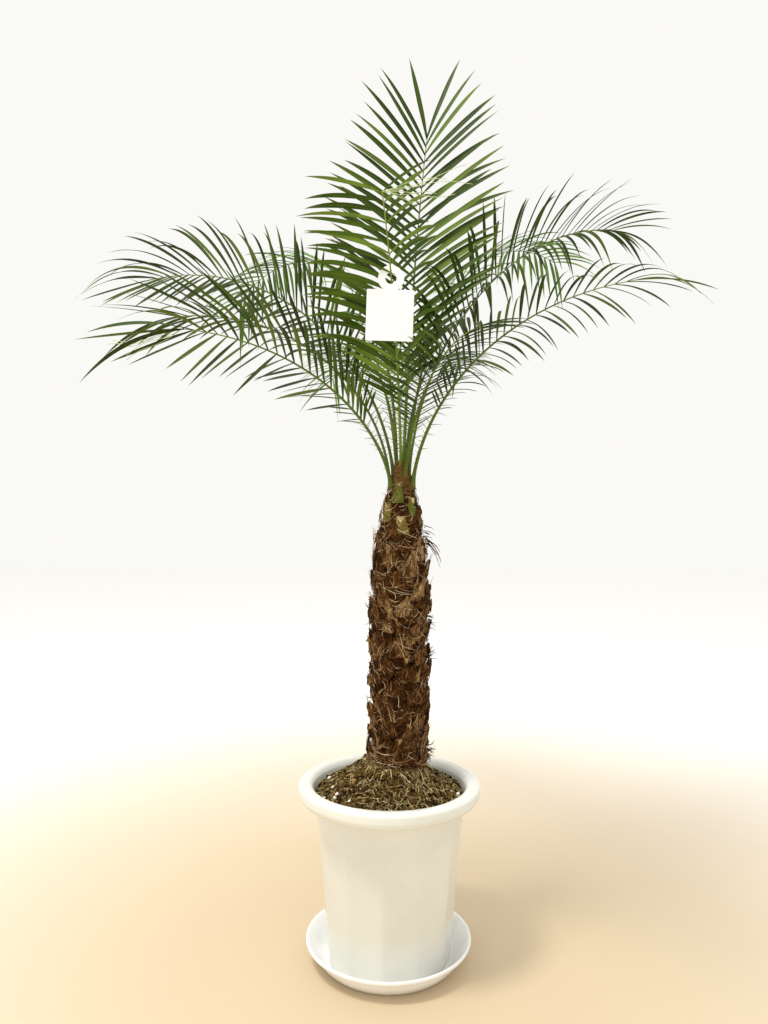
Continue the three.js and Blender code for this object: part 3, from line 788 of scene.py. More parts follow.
# ------------------------------------------------------------------ soil
@dataclass
class Soil:
    """The soil's crumbly mound, crumbs and perlite on it, and roots and fibres round the trunk's foot."""

    foot_height: float = 0.262
    foot_radius: float = 0.1265
    edge_height: float = 0.296
    edge_radius: float = 0.1325
    mound_height: float = 0.350
    mound_radius: float = 0.050
    fall_power: float = 0.8
    trunk_axis: float = 0.0156
    crumbs: int = 3600
    crumbs_from: float = 0.05
    crumb_shares: tuple[float, ...] = (0.42, 0.28, 0.18, 0.12)
    pellets: int = 26
    pellets_from: float = 0.085
    roots: int = 1500
    root_shares: tuple[float, ...] = (0.38, 0.36, 0.26)
    litter: int = 2600
    litter_shares: tuple[float, ...] = (0.44, 0.34, 0.22)
    steps: int = 220
    rings: int = 74
    root_rows: int = 8
    root_flare: float = 0.044
    root_radius: tuple[float, float] = (0.0004, 0.0010)
    litter_rows: int = 7
    litter_from: float = 0.058
    litter_radius: tuple[float, float] = (0.00022, 0.0006)
    largest_crumb: float = 0.0042
    seed: int = 11

    def height(self, radius: Array) -> Array:
        """Works out the mound's height: flat near its middle, then falling by a power of the way out.

        Args:
            radius: Distances from the pot's axis.

        Returns:
            The heights.
        """
        share = np.clip((radius - self.mound_radius) / (self.edge_radius - self.mound_radius), 0.0, 1.0)
        return mix(self.mound_height, self.edge_height, share**self.fall_power)

    def surface(self, x: Array, y: Array) -> Array:
        """Works out the crumbly surface: the mound's height and two sizes of noise.

        Args:
            x: Places along X.
            y: Places along Y.

        Returns:
            The points above them.
        """
        flat = points_of(x, y, 0.0)
        rough = 0.0022 * value_noise(flat * 130, 3) + 0.0014 * value_noise(flat * 310, 4)
        return points_of(x, y, self.height(np.hypot(x, y)) + rough - 0.001)

    def mound(self) -> Shape:
        """The body of soil: rings out from the middle, closed below by a flat foot inside the pot.

        Returns:
            The shape.
        """
        radius = np.concatenate([np.linspace(self.edge_radius, 0.045, self.rings), [0.03, NEAR_AXIS]])
        turn = full_circle(self.steps)
        x, y = np.cos(turn), np.sin(turn)
        top = self.surface(radius[:, None] * x, radius[:, None] * y)
        foot = points_of(self.foot_radius * x, self.foot_radius * y, self.foot_height)
        return tubes(np.concatenate([foot[None], top])[None])

    def lumps(self, centres: Array, sizes: Array, keys: Array) -> Shape:
        """Small faceted lumps: each is an uneven barrel of five sides round its centre.

        Args:
            centres: Their places, (lumps, 3).
            sizes: Their radii.
            keys: Keys for their scatter.

        Returns:
            The shape.
        """
        turn = full_circle(5)
        rows = np.array([[-0.8, 0.25], [-0.35, 0.9], [0.35, 0.85], [0.8, 0.25]])
        key = keys[:, None, None]
        spin = turn + key * 1.7
        flare = 1.0 + 0.28 * wobble(key * 7 + np.arange(4)[:, None] * 13 + np.arange(5) * 3)
        wide = rows[:, 1:] * flare
        ring = points_of(wide * np.cos(spin), wide * np.sin(spin), rows[:, :1] + 0.25 * flare)
        tilt = 0.7 * wobble(keys * 3 + 5)[:, None, None]
        ring[..., 0] = ring[..., 0] + tilt * ring[..., 2]
        return tubes(centres[:, None, None] + ring * sizes[:, None, None, None])

    def scatter(self, rng: np.random.Generator, count: int, least: float) -> tuple[Array, Array]:
        """Spreads places evenly by area over the soil.

        Args:
            rng: The seeded generator.
            count: How many.
            least: Their least distance from the pot's axis.

        Returns:
            Their x and y.
        """
        radius = np.sqrt(rng.uniform(least**2, (self.edge_radius - 0.003) ** 2, count))
        turn = rng.uniform(0, 2 * np.pi, count)
        return radius * np.cos(turn), radius * np.sin(turn)

    def root_paths(self, rng: np.random.Generator) -> Array:
        """Roots that leave the trunk's foot, arch out and dive into the mound.

        A root's distance from the trunk's axis grows from its start to its end, and its height falls from the
        flare to just under the soil by the share to the power 1.6, lifted in the middle by a low arch.

        Args:
            rng: The seeded generator.

        Returns:
            Points, (roots, rows, 3).
        """
        t = np.linspace(0, 1, self.root_rows)
        column = (self.roots, 1)
        turn = rng.uniform(0, 2 * np.pi, column) + rng.normal(0, 0.26, column) * t
        start = rng.uniform(self.root_flare, self.root_flare + 0.016, column)
        reach = rng.gamma(1.6, 0.0038, column) + 0.002
        away = start + reach * t
        x, y = self.trunk_axis + away * np.cos(turn), away * np.sin(turn)
        ground = self.height(np.hypot(x, y)) - 0.002
        high = ground[:, :1] + rng.uniform(0.002, 0.008, column) - 0.5 * (start - 0.046)
        arch = rng.uniform(0.0005, 0.0035, column) * np.sin(np.pi * t)
        z = mix(high, ground[:, -1:] - 0.001, t**1.6) + arch
        return points_of(x, y, np.maximum(z, ground - 0.002))

    def litter_paths(self, rng: np.random.Generator) -> Array:
        """Fine roots and fibres that lie on the soil: short curls that follow its surface.

        Args:
            rng: The seeded generator.

        Returns:
            Points, (litter, rows, 3).
        """
        t = np.linspace(0, 1, self.litter_rows)
        column = (self.litter, 1)
        x, y = self.scatter(rng, self.litter, self.litter_from)
        heading = rng.uniform(0, 2 * np.pi, column) + rng.normal(0, 1.3, column) * t
        step = rng.uniform(0.0012, 0.0045, column)
        x = x[:, None] + np.cumsum(np.cos(heading) * step, 1)
        y = y[:, None] + np.cumsum(np.sin(heading) * step, 1)
        keep = np.minimum(1.0, (self.edge_radius - 0.002) / np.hypot(x, y))
        points = self.surface(x * keep, y * keep)
        points[..., 2] += 0.0010 + rng.uniform(0, 0.002, column) * np.sin(np.pi * t)
        return points

    def build(self) -> None:
        """Makes and places every piece of the soil."""
        rng = np.random.default_rng(self.seed)
        Piece("soil_mound", self.mound(), [Palette.LOAM], "soil", ["soil"]).place()
        x, y = self.scatter(rng, self.crumbs, self.crumbs_from)
        sizes = 0.0007 + rng.gamma(1.6, 0.0006, self.crumbs)
        centres = self.surface(x, y) + [0, 0, 0.0004]
        crumbs = self.lumps(centres, np.minimum(sizes, self.largest_crumb), np.arange(self.crumbs))
        crumbs.toned(rng.choice(4, self.crumbs, p=self.crumb_shares))
        Piece("soil_crumbs", crumbs, Palette.CRUMBS, "soil", smooth_faces=False).place()
        self.perlite(rng)
        self.roots_and_litter(rng)

    def perlite(self, rng: np.random.Generator) -> None:
        """Places the white pellets: a loose cluster at the left, two elsewhere and some small ones.

        Args:
            rng: The seeded generator.
        """
        cluster = np.array([
            (-0.1085, 0.018), (-0.1020, 0.020), (-0.0996, -0.036), (-0.0910, -0.060), (-0.1125, -0.056),
            (-0.1060, -0.069), (-0.0930, -0.069), (-0.0680, -0.088), (0.1194, -0.034), (0.060, 0.104),
        ])
        sizes = np.array([4.4, 2.6, 3.2, 3.8, 2.8, 3.6, 3.2, 2.6, 4.2, 2.6]) * MM
        small = np.stack(self.scatter(rng, self.pellets, self.pellets_from), -1)
        spots = np.concatenate([cluster, small])
        sizes = np.concatenate([sizes, rng.uniform(0.0006, 0.0013, self.pellets)])
        centres = self.surface(*spots.T) + [0, 0, 0.0014]
        pellets = self.lumps(centres, sizes, np.arange(len(spots)) + 70)
        Piece("perlite_pellets", pellets, [Palette.PERLITE], "soil").place()

    def roots_and_litter(self, rng: np.random.Generator) -> None:
        """Places the roots and the litter of fibres.

        Args:
            rng: The seeded generator.
        """
        paths = self.root_paths(rng)
        taper = 1.0 - 0.55 * np.linspace(0, 1, self.root_rows) ** 2
        roots = strands(paths, rng.uniform(*self.root_radius, (self.roots, 1)) * taper, 5)
        roots.toned(rng.choice(3, self.roots, p=self.root_shares))
        Piece("surface_roots", roots, Palette.ROOTS, "soil").place()
        litter = strands(self.litter_paths(rng), rng.uniform(*self.litter_radius, (self.litter, 1)))
        litter.toned(rng.choice(3, self.litter, p=self.litter_shares))
        Piece("root_litter", litter, Palette.ROOTS, "soil").place()


# ------------------------------------------------------------------ trunk
@dataclass(frozen=True)
class LeafBase:
    """The sizes of one kind of leaf base: a keeled plate or wedge that clasps the trunk.

    It ends in a cut that slants down to its keel by cut_slope, or in a torn edge, ragged times its length.
    """

    length: float
    base_width: float
    cut_width: float
    stand: float
    keel: float
    thick: float
    cut_slope: float
    ragged: float = 0.0


@dataclass(frozen=True)
class Tuft:
    """Loose hairs from one place, its azimuth in radians: how far they reach, and climb for each metre."""

    azimuth: float
    height: float
    count: int
    reach: float
    climb: float


@dataclass
class Trunk:
    """The trunk: fibrous core, spiral leaf bases, cut stalks under the crown, netting and loose fibres."""

    foot: float = 0.3503
    tip: float = 0.862
    axis: float = 0.0156
    top_shift: float = 0.0032
    high: float = 0.756
    low: float = 0.377
    rise: float = 0.0054
    stub_count: int = 9
    stub_top: float = 0.841
    stub_drop: float = 0.0068
    first_azimuth: float = 254.0
    scraps: int = 190
    scrap_shares: tuple[float, ...] = (0.5, 0.32, 0.18)
    net_fibres: int = 2900
    net_rows: int = 7
    net_shares: tuple[float, ...] = (0.36, 0.32, 0.20, 0.12)
    frayed_each: int = 18
    frayed_rows: int = 8
    frayed_shares: tuple[float, ...] = (0.30, 0.32, 0.24, 0.14)
    lone_hairs: int = 80
    lone_reach: float = 0.006
    hair_rows: int = 9
    hair_shares: tuple[float, ...] = (0.8, 0.2, 0.0, 0.0)
    hair_stoutness: float = 2.4
    strand_radius: tuple[float, float] = (0.00018, 0.00048)
    core_sides: int = 128
    core_rows: int = 230
    base_rows: int = 11
    base_columns: int = 11
    old: LeafBase = LeafBase(0.050, 0.040, 0.026, 0.0080, 0.0034, 0.0056, 0.0, 0.8)
    scrap: LeafBase = LeafBase(0.032, 0.018, 0.006, 0.0078, 0.0014, 0.0014, 0.0, 0.8)
    remnant: LeafBase = LeafBase(0.028, 0.018, 0.0100, 0.0085, 0.0046, 0.005, 0.008, 0.0)
    fresh: LeafBase = LeafBase(0.036, 0.024, 0.0140, 0.0050, 0.0056, 0.005, 0.011, 0.0)
    profile: tuple[tuple[float, float], ...] = (
        (0.056, 0.3503), (0.051, 0.364), (0.047, 0.384), (0.046, 0.430), (0.0465, 0.580), (0.045, 0.715),
        (0.0385, 0.762), (0.0335, 0.795), (0.0265, 0.822), (0.0205, 0.843), (0.016, 0.856), (0.013, 0.862),
    )
    tufts: tuple[Tuft, ...] = (
        Tuft(-0.05, 0.742, 9, 0.026, -1.3), Tuft(-0.2, 0.756, 7, 0.016, -0.4),
        Tuft(-0.25, 0.60, 12, 0.015, -0.3), Tuft(-0.1, 0.545, 8, 0.014, 0.5),
        Tuft(3.2, 0.62, 6, 0.010, 0.4), Tuft(2.9, 0.50, 6, 0.010, 0.6), Tuft(0.4, 0.52, 6, 0.014, 0.0),
        Tuft(1.6, 0.72, 10, 0.018, -0.6), Tuft(2.2, 0.6, 8, 0.016, -0.5), Tuft(4.6, 0.5, 5, 0.010, 0.3),
        Tuft(1.2, 0.45, 6, 0.014, -0.4), Tuft(-0.15, 0.372, 12, 0.014, 0.1),
    )
    seed: int = 5

    def radius(self, height: Array) -> Array:
        """Returns the core's radius, straight between the profile's points."""
        sizes, heights = np.array(self.profile).T
        return np.interp(height, heights, sizes)

    def around(self, turn: Array, radius: Array, height: Array) -> Array:
        """Returns the point at an angle (radians), distance from the drifting axis and height."""
        share = np.clip((height - self.foot) / (self.tip - self.foot), 0.0, 1.0)
        middle = self.axis + self.top_shift * share**2
        return points_of(middle + radius * np.cos(turn), radius * np.sin(turn), height)

    def core(self) -> Shape:
        """The core: its round wall is pushed out and in by noise that is stretched round the trunk.

        Returns:
            The shape.
        """
        turn = full_circle(self.core_sides)
        height = np.linspace(self.foot, self.tip, self.core_rows)[:, None]
        grain = points_of(3 * np.cos(turn), 3 * np.sin(turn), height * 160)
        relief = 0.0016 * value_noise(grain, 1) + 0.0010 * value_noise(grain * [3, 3, 2.2], 2)
        size = self.radius(height) - 0.0030 + relief
        return tubes(self.around(turn, size, height)[None])

    def bases(self, kind: LeafBase, turn: Array, low: Array, keys: Array) -> Shape:
        """Leaf bases: a keeled section that narrows upwards, wraps round the trunk and stands off it.

        At share v of its height a base is as wide as the mix of base and cut width. Its outer face stands off
        the core by stand times v to 1.5, less near the crown, where it hugs the neck, and bulges to a keel of
        (1 - |u|) to 0.8 across it. Fine ridges run up it. A cut end slants down to the keel. A torn end loses
        ragged times its length by |u| to 1.1 and by a hashed depth in each of its columns.

        Args:
            kind: Its sizes.
            turn: Azimuths, in radians.
            low: Heights of the feet.
            keys: Keys for the scatter of each.

        Returns:
            The shape; its last faces are the ends.
        """
        v = np.linspace(0, 1, self.base_rows)[None, :, None]
        there, again = (np.linspace(end, -end, self.base_columns) for end in (-1, 1))
        u = np.concatenate([there, again[1:-1]])[None, None, :]
        outer = (np.arange(u.size) < self.base_columns)[None, None, :]
        column, foot = keys[:, None, None], low[:, None, None]
        size = 1.0 + 0.16 * wobble(column)
        long = kind.length * (1.0 + 0.16 * wobble(column + 500))
        hug = mix(1.0, 0.4, smooth((foot - 0.645) / 0.06))
        stand = kind.stand * (1.0 + 0.4 * wobble(column + 700)) * hug
        width = mix(kind.base_width, kind.cut_width, smooth(v * 1.05) ** 0.8) * size
        depth = np.abs(wobble(np.round(u * 5) * 3.7 + column))
        torn = kind.ragged * (0.68 * np.abs(u) ** 1.1 + 0.32 * depth)
        height = foot + long * v * (1.0 - torn * v**2)
        core = self.radius(height)
        ridge = 0.0005 * wobble(np.round(u * 5) + column * 1.3) * (0.3 + v)
        keel = kind.keel * (1.0 - np.abs(u)) ** 0.8 * (0.25 + 0.75 * v) * mix(0.6, 1.0, hug)
        curl = 0.0022 * kind.ragged * wobble(np.round(u * 2.5) + column * 2.1) * v**3
        face = -0.001 + stand * v**1.5 + keel + ridge + curl
        back = face - keel * 0.6 - ridge - kind.thick * (1.0 - 0.6 * v * (kind.ragged > 0))
        slant = kind.cut_slope * smooth((v - 0.6) / 0.4) * (1.0 - np.abs(u))
        height = height - np.where(outer, slant, 0.0)
        lean = 0.14 * wobble(column + 40) * v
        angle = turn[:, None, None] + lean + u * width / 2 / (core + face)
        return tubes(self.around(angle, core + np.where(outer, face, back), height))

    def leaf_bases(self, rng: np.random.Generator) -> tuple[Shape, Array, Array]:
        """The old leaf bases, in the spiral that the stubs begin, with torn scraps and stalk ends among them.

        Args:
            rng: The seeded generator.

        Returns:
            The shape, and the plates' azimuths and feet.
        """
        keys = np.arange(int((self.high - self.low) / self.rise))
        turn = np.radians(self.first_azimuth + GOLDEN_ANGLE * (self.stub_count + keys))
        low = self.high - self.rise * keys - 0.036
        tan = np.clip((low - 0.66) / 0.14, 0, 1) * 0.7 + 0.6 * wobble(keys + 90)
        steps = [-0.1, 0.42]
        plates = self.bases(self.old, turn, low, keys).toned(np.digitize(tan, steps))
        around, up = rng.uniform(0, 2 * np.pi, self.scraps), rng.uniform(0.352, 0.80, self.scraps)
        loose = self.bases(self.scrap, around, up, np.arange(self.scraps) + 900)
        loose.toned(rng.choice(3, self.scraps, p=self.scrap_shares))
        kept = keys[(wobble(keys + 33) > 0.0) | (low > 0.70)]
        ends = self.bases(self.remnant, turn[kept], low[kept] + 0.014, kept + 60)
        ends.toned(np.digitize(tan[kept] + 0.35, steps), 3)
        return Shape.joined([plates, loose, ends]), turn, low

    def stubs(self) -> Shape:
        """The cut stalks just under the crown, the upper five green and the rest olive.

        Returns:
            The shape.
        """
        keys = np.arange(self.stub_count)
        turn = np.radians(self.first_azimuth + GOLDEN_ANGLE * keys)
        low = self.stub_top - self.stub_drop * keys - 0.030
        return self.bases(self.fresh, turn, low, keys + 300).toned((keys > 4).astype(int), 2)

    def netting(self, rng: np.random.Generator) -> Array:
        """Fibres that wrap round the trunk between the leaf bases, a tenth of them round its foot.

        Each turns mostly by up to 60 degrees as it goes, sags like a hung rope by the sine of its share,
        drifts up or down, and stands off the core by up to five millimetres with a slow wobble.

        Args:
            rng: The seeded generator.

        Returns:
            Points, (fibres, rows, 3).
        """
        t = np.linspace(0, 1, self.net_rows)
        column = (self.net_fibres, 1)
        at_foot = rng.uniform(0, 1, column) < 0.1
        height = np.where(at_foot, rng.uniform(0.354, 0.380, column), rng.uniform(0.356, 0.845, column))
        start = rng.uniform(0, 2 * np.pi, column)
        sweep = rng.choice([-1, 1], column) * (0.12 + rng.gamma(1.5, 0.22, column))
        sag = rng.gamma(1.6, 0.0024, column)
        drift = rng.normal(0, 0.009, column)
        z = np.clip(height + drift * t - sag * np.sin(np.pi * t), 0.352, 0.856)
        lift = rng.uniform(-0.001, 0.0042, column) + 0.0010 * np.sin(t * rng.uniform(3, 9, column) + start)
        return self.around(start + sweep * t, self.radius(z) + lift, z)

    def frayed(self, rng: np.random.Generator, turn: Array, low: Array) -> Array:
        """Fibres that fray from each leaf base: they run up its face, fan out and curl away past its top.

        Args:
            rng: The seeded generator.
            turn: The bases' azimuths, in radians.
            low: The heights of their feet.

        Returns:
            Points, (fibres, rows, 3).
        """
        t = np.linspace(0, 1, self.frayed_rows)
        middle, foot = (np.repeat(values, self.frayed_each)[:, None] for values in (turn, low))
        column = middle.shape
        aside = rng.uniform(-1, 1, column)
        height = foot + rng.uniform(-0.004, 0.034, column)
        long = rng.uniform(0.010, 0.030, column)
        z = np.clip(height + long * t, 0.354, 0.862)
        angle = middle + aside * mix(0.42, 0.20, t) + rng.normal(0, 0.16, column) * t**2
        share = np.clip((z - foot) / self.old.length, 0, 1.1)
        off = 0.0005 + self.old.stand * share**1.5 + self.old.keel * (1 - np.abs(aside))
        curl = rng.uniform(-0.001, 0.0038, column) * t**2.5
        return self.around(angle, self.radius(z) + off + curl, z)

    def hairs(self, rng: np.random.Generator) -> Array:
        """Long dark hairs that stick out, in tufts and alone, each curled by a sine of its share.

        Args:
            rng: The seeded generator.

        Returns:
            Points, (hairs, rows, 3).
        """
        lone = self.lone_hairs
        tufts = np.array([(tuft.azimuth, tuft.height, tuft.reach, tuft.climb) for tuft in self.tufts])
        turn, height, reach, climb = np.repeat(tufts, [tuft.count for tuft in self.tufts], axis=0).T
        turn = np.concatenate([turn, rng.uniform(0, 2 * np.pi, lone)])[:, None]
        height = np.concatenate([height, rng.uniform(0.37, 0.83, lone)])[:, None]
        reach = np.concatenate([reach, np.full(lone, self.lone_reach)])[:, None]
        climb = np.concatenate([climb, rng.normal(0.5, 0.8, lone)])[:, None]
        column = turn.shape
        t = np.linspace(0, 1, self.hair_rows)
        turn = turn + rng.normal(0, 0.12, column) + rng.normal(0, 0.2, column) * t**2
        reach = reach * rng.uniform(0.5, 1.2, column)
        start = height + rng.normal(0, 0.007, column)
        climbed = (climb + rng.normal(0, 0.35, column)) * reach * t**1.4
        curl = 0.12 * reach * np.sin(rng.uniform(3, 7, column) * t + rng.uniform(0, 6.3, column)) * t
        off = 0.005 + reach * t**0.8 - 0.5 * curl
        return self.around(turn, self.radius(start) + off, start + climbed + curl)

    def build(self) -> None:
        """Makes and places every piece of the trunk."""
        rng = np.random.default_rng(self.seed)
        Piece("trunk_core", self.core(), [Palette.CORE], "bark", ["trunk"]).place()
        shape, turn, low = self.leaf_bases(rng)
        Piece("leaf_bases", shape, Palette.BOOTS, "bark").place()
        nodes = [f"petiole_stub_{k + 1}" for k in range(self.stub_count)]
        Piece("cut_stalks", self.stubs(), Palette.STUBS, "stub", nodes).place()
        self.fibres("trunk_netting", self.netting(rng), rng, self.net_shares)
        self.fibres("leaf_base_fibres", self.frayed(rng, turn, low), rng, self.frayed_shares)
        self.fibres("trunk_wisps", self.hairs(rng), rng, self.hair_shares, self.hair_stoutness)

    def fibres(
        self, name: str, paths: Array, rng: np.random.Generator, shares: Sequence[float], stout: float = 1.0
    ) -> None:
        """Places strands that thin towards their tips, each in one of four tones.

        Args:
            name: The piece's name.
            paths: Their points, (fibres, rows, 3).
            rng: The seeded generator.
            shares: How much of them each tone gets.
            stout: How many times thicker they are.
        """
        count, rows, _ = paths.shape
        taper = 1.0 - 0.7 * np.linspace(0, 1, rows) ** 3
        shape = strands(paths, rng.uniform(*self.strand_radius, (count, 1)) * stout * taper)
        shape.toned(rng.choice(4, count, p=shares))
        Piece(name, shape, Palette.FIBRES, "bark").place()


# ------------------------------------------------------------------ crown
@dataclass(frozen=True)
class Whorl:
    """Where a ring of fronds leaves the neck, and how wide its stalks are beside the outer ones."""

    height: float
    radius: float
    width: float


class Ring(Enum):
    """The three whorls, from the neck's foot to its heart."""

    OUTER = Whorl(0.836, 0.021, 1.0)
    MIDDLE = Whorl(0.848, 0.0145, 0.8)
    HEART = Whorl(0.8623, 0.0068, 0.74)


@dataclass(frozen=True)
class Frond:
    """One frond: lengths in metres and angles in degrees.

    Its rachis leans from lean[0] to lean[1] by the share of its length to the power bend, while it drifts by
    sweep in azimuth and rolls from roll[0] to roll[1].

    Its leaflets are leaf long halfway along it and change by tip_growth from end to end. They leave it at 60
    degrees, at angles[0] late on it and at angles[1] at its tip, wider by skew on its right and narrower on
    its left. They rise out of its plane and sag by droop, more by uneven on its right and less on its left.
    They are blade wide and turn by sky towards the level. They follow the law of the solids, closer together,
    and none reaches past the solids' box. Where halves is true, the solids split the frond at its bend.
    """

    name: str
    ring: Ring
    azimuth: float
    lean: tuple[float, float]
    bend: float
    length: float
    sweep: float
    roll: tuple[float, float]
    leaf: float
    tip_growth: float
    angles: tuple[float, float]
    rise: float
    droop: float
    uneven: float
    tone: LeafTone
    number: int
    skew: float = 0.0
    halves: bool = True
    blade: float = 0.0069
    sky: float = 0.6

    STEPS = 60
    FIRST_AT = 0.27
    SPACING = 0.0145
    BASE_WIDTH = 0.009
    TIP_WIDTH = 0.0017
    STALK_STEPS = 64
    STALK_SIDES = 8
    BLADE_POINTS = 17
    FULL_WIDTH_LENGTH = 0.150
    USUAL_LENGTH = 0.170
    WIDEST_AT = 0.42
    SPINE_PAIRS = 11
    SPINE_POINTS = 5
    BOX_MARGIN = 0.0005

    def nodes(self) -> list[str]:
        """Returns the CAD nodes that the frond stands for."""
        return [self.name + "_inner", self.name + "_outer"] if self.halves else [self.name]

    def rachis(self) -> dict[str, Array]:
        """Works out the rachis: each step goes the mean way of its two ends.

        Returns:
            For each end of a step its share, point, direction, upper side and sideways direction.
        """
        share = np.linspace(0, 1, self.STEPS + 1)
        lean = np.radians(mix(self.lean[0], self.lean[1], share**self.bend))
        azimuth = np.radians(self.azimuth + self.sweep * share)
        x, y = np.cos(azimuth), np.sin(azimuth)
        along = points_of(np.sin(lean) * x, np.sin(lean) * y, np.cos(lean))
        up = points_of(-np.cos(lean) * x, -np.cos(lean) * y, np.sin(lean))
        side = np.cross(along, up)
        roll = np.radians(mix(self.roll[0], self.roll[1], share))[:, None]
        whorl = self.ring.value
        start = Trunk().around(np.radians(self.azimuth), np.array(whorl.radius), np.array(whorl.height))
        steps = (along[1:] + along[:-1]) / 2 * self.length / self.STEPS
        point = np.concatenate([start[None], start + np.cumsum(steps, 0)])
        return {
            "share": share,
            "point": point,
            "along": along,
            "up": up * np.cos(roll) + side * np.sin(roll),
            "side": side * np.cos(roll) - up * np.sin(roll),
        }

    def at(self, shares: Array) -> dict[str, Array]:
        """Works out the rachis between its steps.

        Args:
            shares: Shares of its length.

        Returns:
            Its point, direction, upper side and sideways direction at each.
        """
        line = self.rachis()
        known = line.pop("share")
        return {key: points_of(*(np.interp(shares, known, part) for part in line[key].T)) for key in line}

    def width(self, share: Array) -> Array:
        """Returns the stalk's width: from base to tip by the share to the power 0.75."""
        return mix(self.BASE_WIDTH * self.ring.value.width, self.TIP_WIDTH, share**0.75)

    def stalk(self) -> Shape:
        """The stalk: shallow on one side, keeled on the other, and stouter where it clasps the neck.

        Returns:
            The shape.
        """
        share = np.linspace(0, 1, self.STALK_STEPS)
        line = self.at(share)
        turn = full_circle(self.STALK_SIDES)[:, None]
        clasp = 1.0 + 0.9 * np.clip(1.0 - share / 0.07, 0, 1) ** 2
        wide = (self.width(share) * clasp / 2)[:, None, None]
        deep = np.where(np.sin(turn) > 0, 0.30, 0.72) * wide * 1.2
        ring = line["side"][:, None] * np.cos(turn) * wide - line["up"][:, None] * np.sin(turn) * deep
        rings = line["point"][:, None] + ring
        return tubes(rings[None])

    def plan(self) -> dict[str, Array]:
        """Works out the numbers of every leaflet; scatter by key makes no two alike.

        Returns:
            Each number's name and its value for each leaflet, left and right in turn from the first pair.
        """
        pairs = round(self.length * (1 - self.FIRST_AT) / self.SPACING)
        place = np.repeat(np.arange(pairs), 2)
        hand = np.tile([-1.0, 1.0], pairs)
        u = place / (pairs - 1)
        key = self.number * 1000 + place * 2 + (hand + 1) / 2
        late, tip = self.angles
        last = (hand > 0) & (place + 1 < pairs)
        grown = mix(0.4, 1.0, smooth(u / 0.3))
        return {
            "hand": hand,
            "share": self.FIRST_AT + (1 - self.FIRST_AT) * u**1.2 - np.where(last, 0.0, 0.004),
            "angle": mix(60.0, late, u**1.5) - (late - tip) * u**9 + self.skew * hand + 4 * wobble(key),
            "rise": self.rise + 7 * wobble(key + 100),
            "length": self.leaf * (1 + self.tip_growth * (u - 0.5)) * (1 + 0.07 * wobble(key + 200)) * grown,
            "droop": self.droop * (1 + self.uneven * hand) * (1 + 0.35 * wobble(key + 300)),
            "key": key,
        }

    @staticmethod
    def toward(line: dict[str, Array], hand: Array, angle: Array, rise: Array) -> Array:
        """Works out which way leaflets or spines leave the rachis.

        They go along it by cos(angle) and out of it by sin(angle), and out is sideways by cos(rise) and to
        the upper side by sin(rise).

        Args:
            line: The rachis at their feet.
            hand: -1 on its left and 1 on its right.
            angle: The angle from the rachis, in radians.
            rise: How far they lean to its upper side, in radians.

        Returns:
            Their directions.
        """
        out = line["side"] * (hand * np.cos(rise))[:, None] + line["up"] * np.sin(rise)[:, None]
        return line["along"] * np.cos(angle)[:, None] + out * np.sin(angle)[:, None]

    def leaflets(self) -> Shape:
        """The leaflets: narrow folded blades that leave the rachis, sag and taper to a fine point.

        Along share t a blade's midline is its foot, plus its direction times length t (1 - 0.12 sag t), less
        0.55 sag length t^2.2 in height. It is widest at two fifths, its halves fold up from the midrib, and
        the fold opens towards the tip. Its width lies along the rachis, turned by sky towards the level, so
        that its face looks up, and twisted a little more by its key.

        Returns:
            The shape.
        """
        plan = self.plan()
        line = self.at(plan["share"])
        hand = plan["hand"]
        toward = self.toward(line, hand, np.radians(plan["angle"]), np.radians(plan["rise"]))
        long = plan["length"][:, None]
        sag = (plan["droop"] * plan["length"] / self.USUAL_LENGTH)[:, None]
        t = np.linspace(0, 1, self.BLADE_POINTS)[None, :]
        middle = line["point"][:, None] + toward[:, None] * (long * t * (1 - 0.12 * sag * t))[..., None]
        middle[..., 2] -= 0.55 * sag * long * t**2.2
        middle = self.held_in(middle)
        across = self.faced(middle, line["along"][:, None], plan["key"][:, None], t)
        through = np.cross(unit(np.gradient(middle, axis=1)), across)
        full = self.blade * mix(0.55, 1.0, np.clip(long / self.FULL_WIDTH_LENGTH, 0, 1))
        late = np.clip((t - self.WIDEST_AT) / (1.0 - self.WIDEST_AT), 0, 1)
        early = np.sin(np.pi / 2 * np.clip(t / self.WIDEST_AT, 0, 1))
        wide = full * mix(0.32, 1.0, early) * np.maximum(1.0 - late**2.4, 0.012)
        fold = (wide / 2 * mix(0.5, 0.2, smooth(t / 0.5)) * hand[:, None])[..., None]
        half = across * (wide / 2)[..., None]
        thick = through * (0.00012 + 0.00030 * (1 - t))[..., None]
        lifted = through * fold
        shape = tubes(middle[:, :, None] + np.stack([half + lifted, thick, -half + lifted, -thick], 2))
        ribs = np.tile([[0.0, 1.0, 1.0, 0.0], [1.0, 0.0, 0.0, 1.0]], (len(shape.faces[0]) // 2, 1))
        shape.uvs[0] = np.stack([ribs, shape.uvs[0][..., 1]], -1)
        return shape.toned(np.digitize(wobble(plan["key"] + 600), [-0.2, 0.55]))

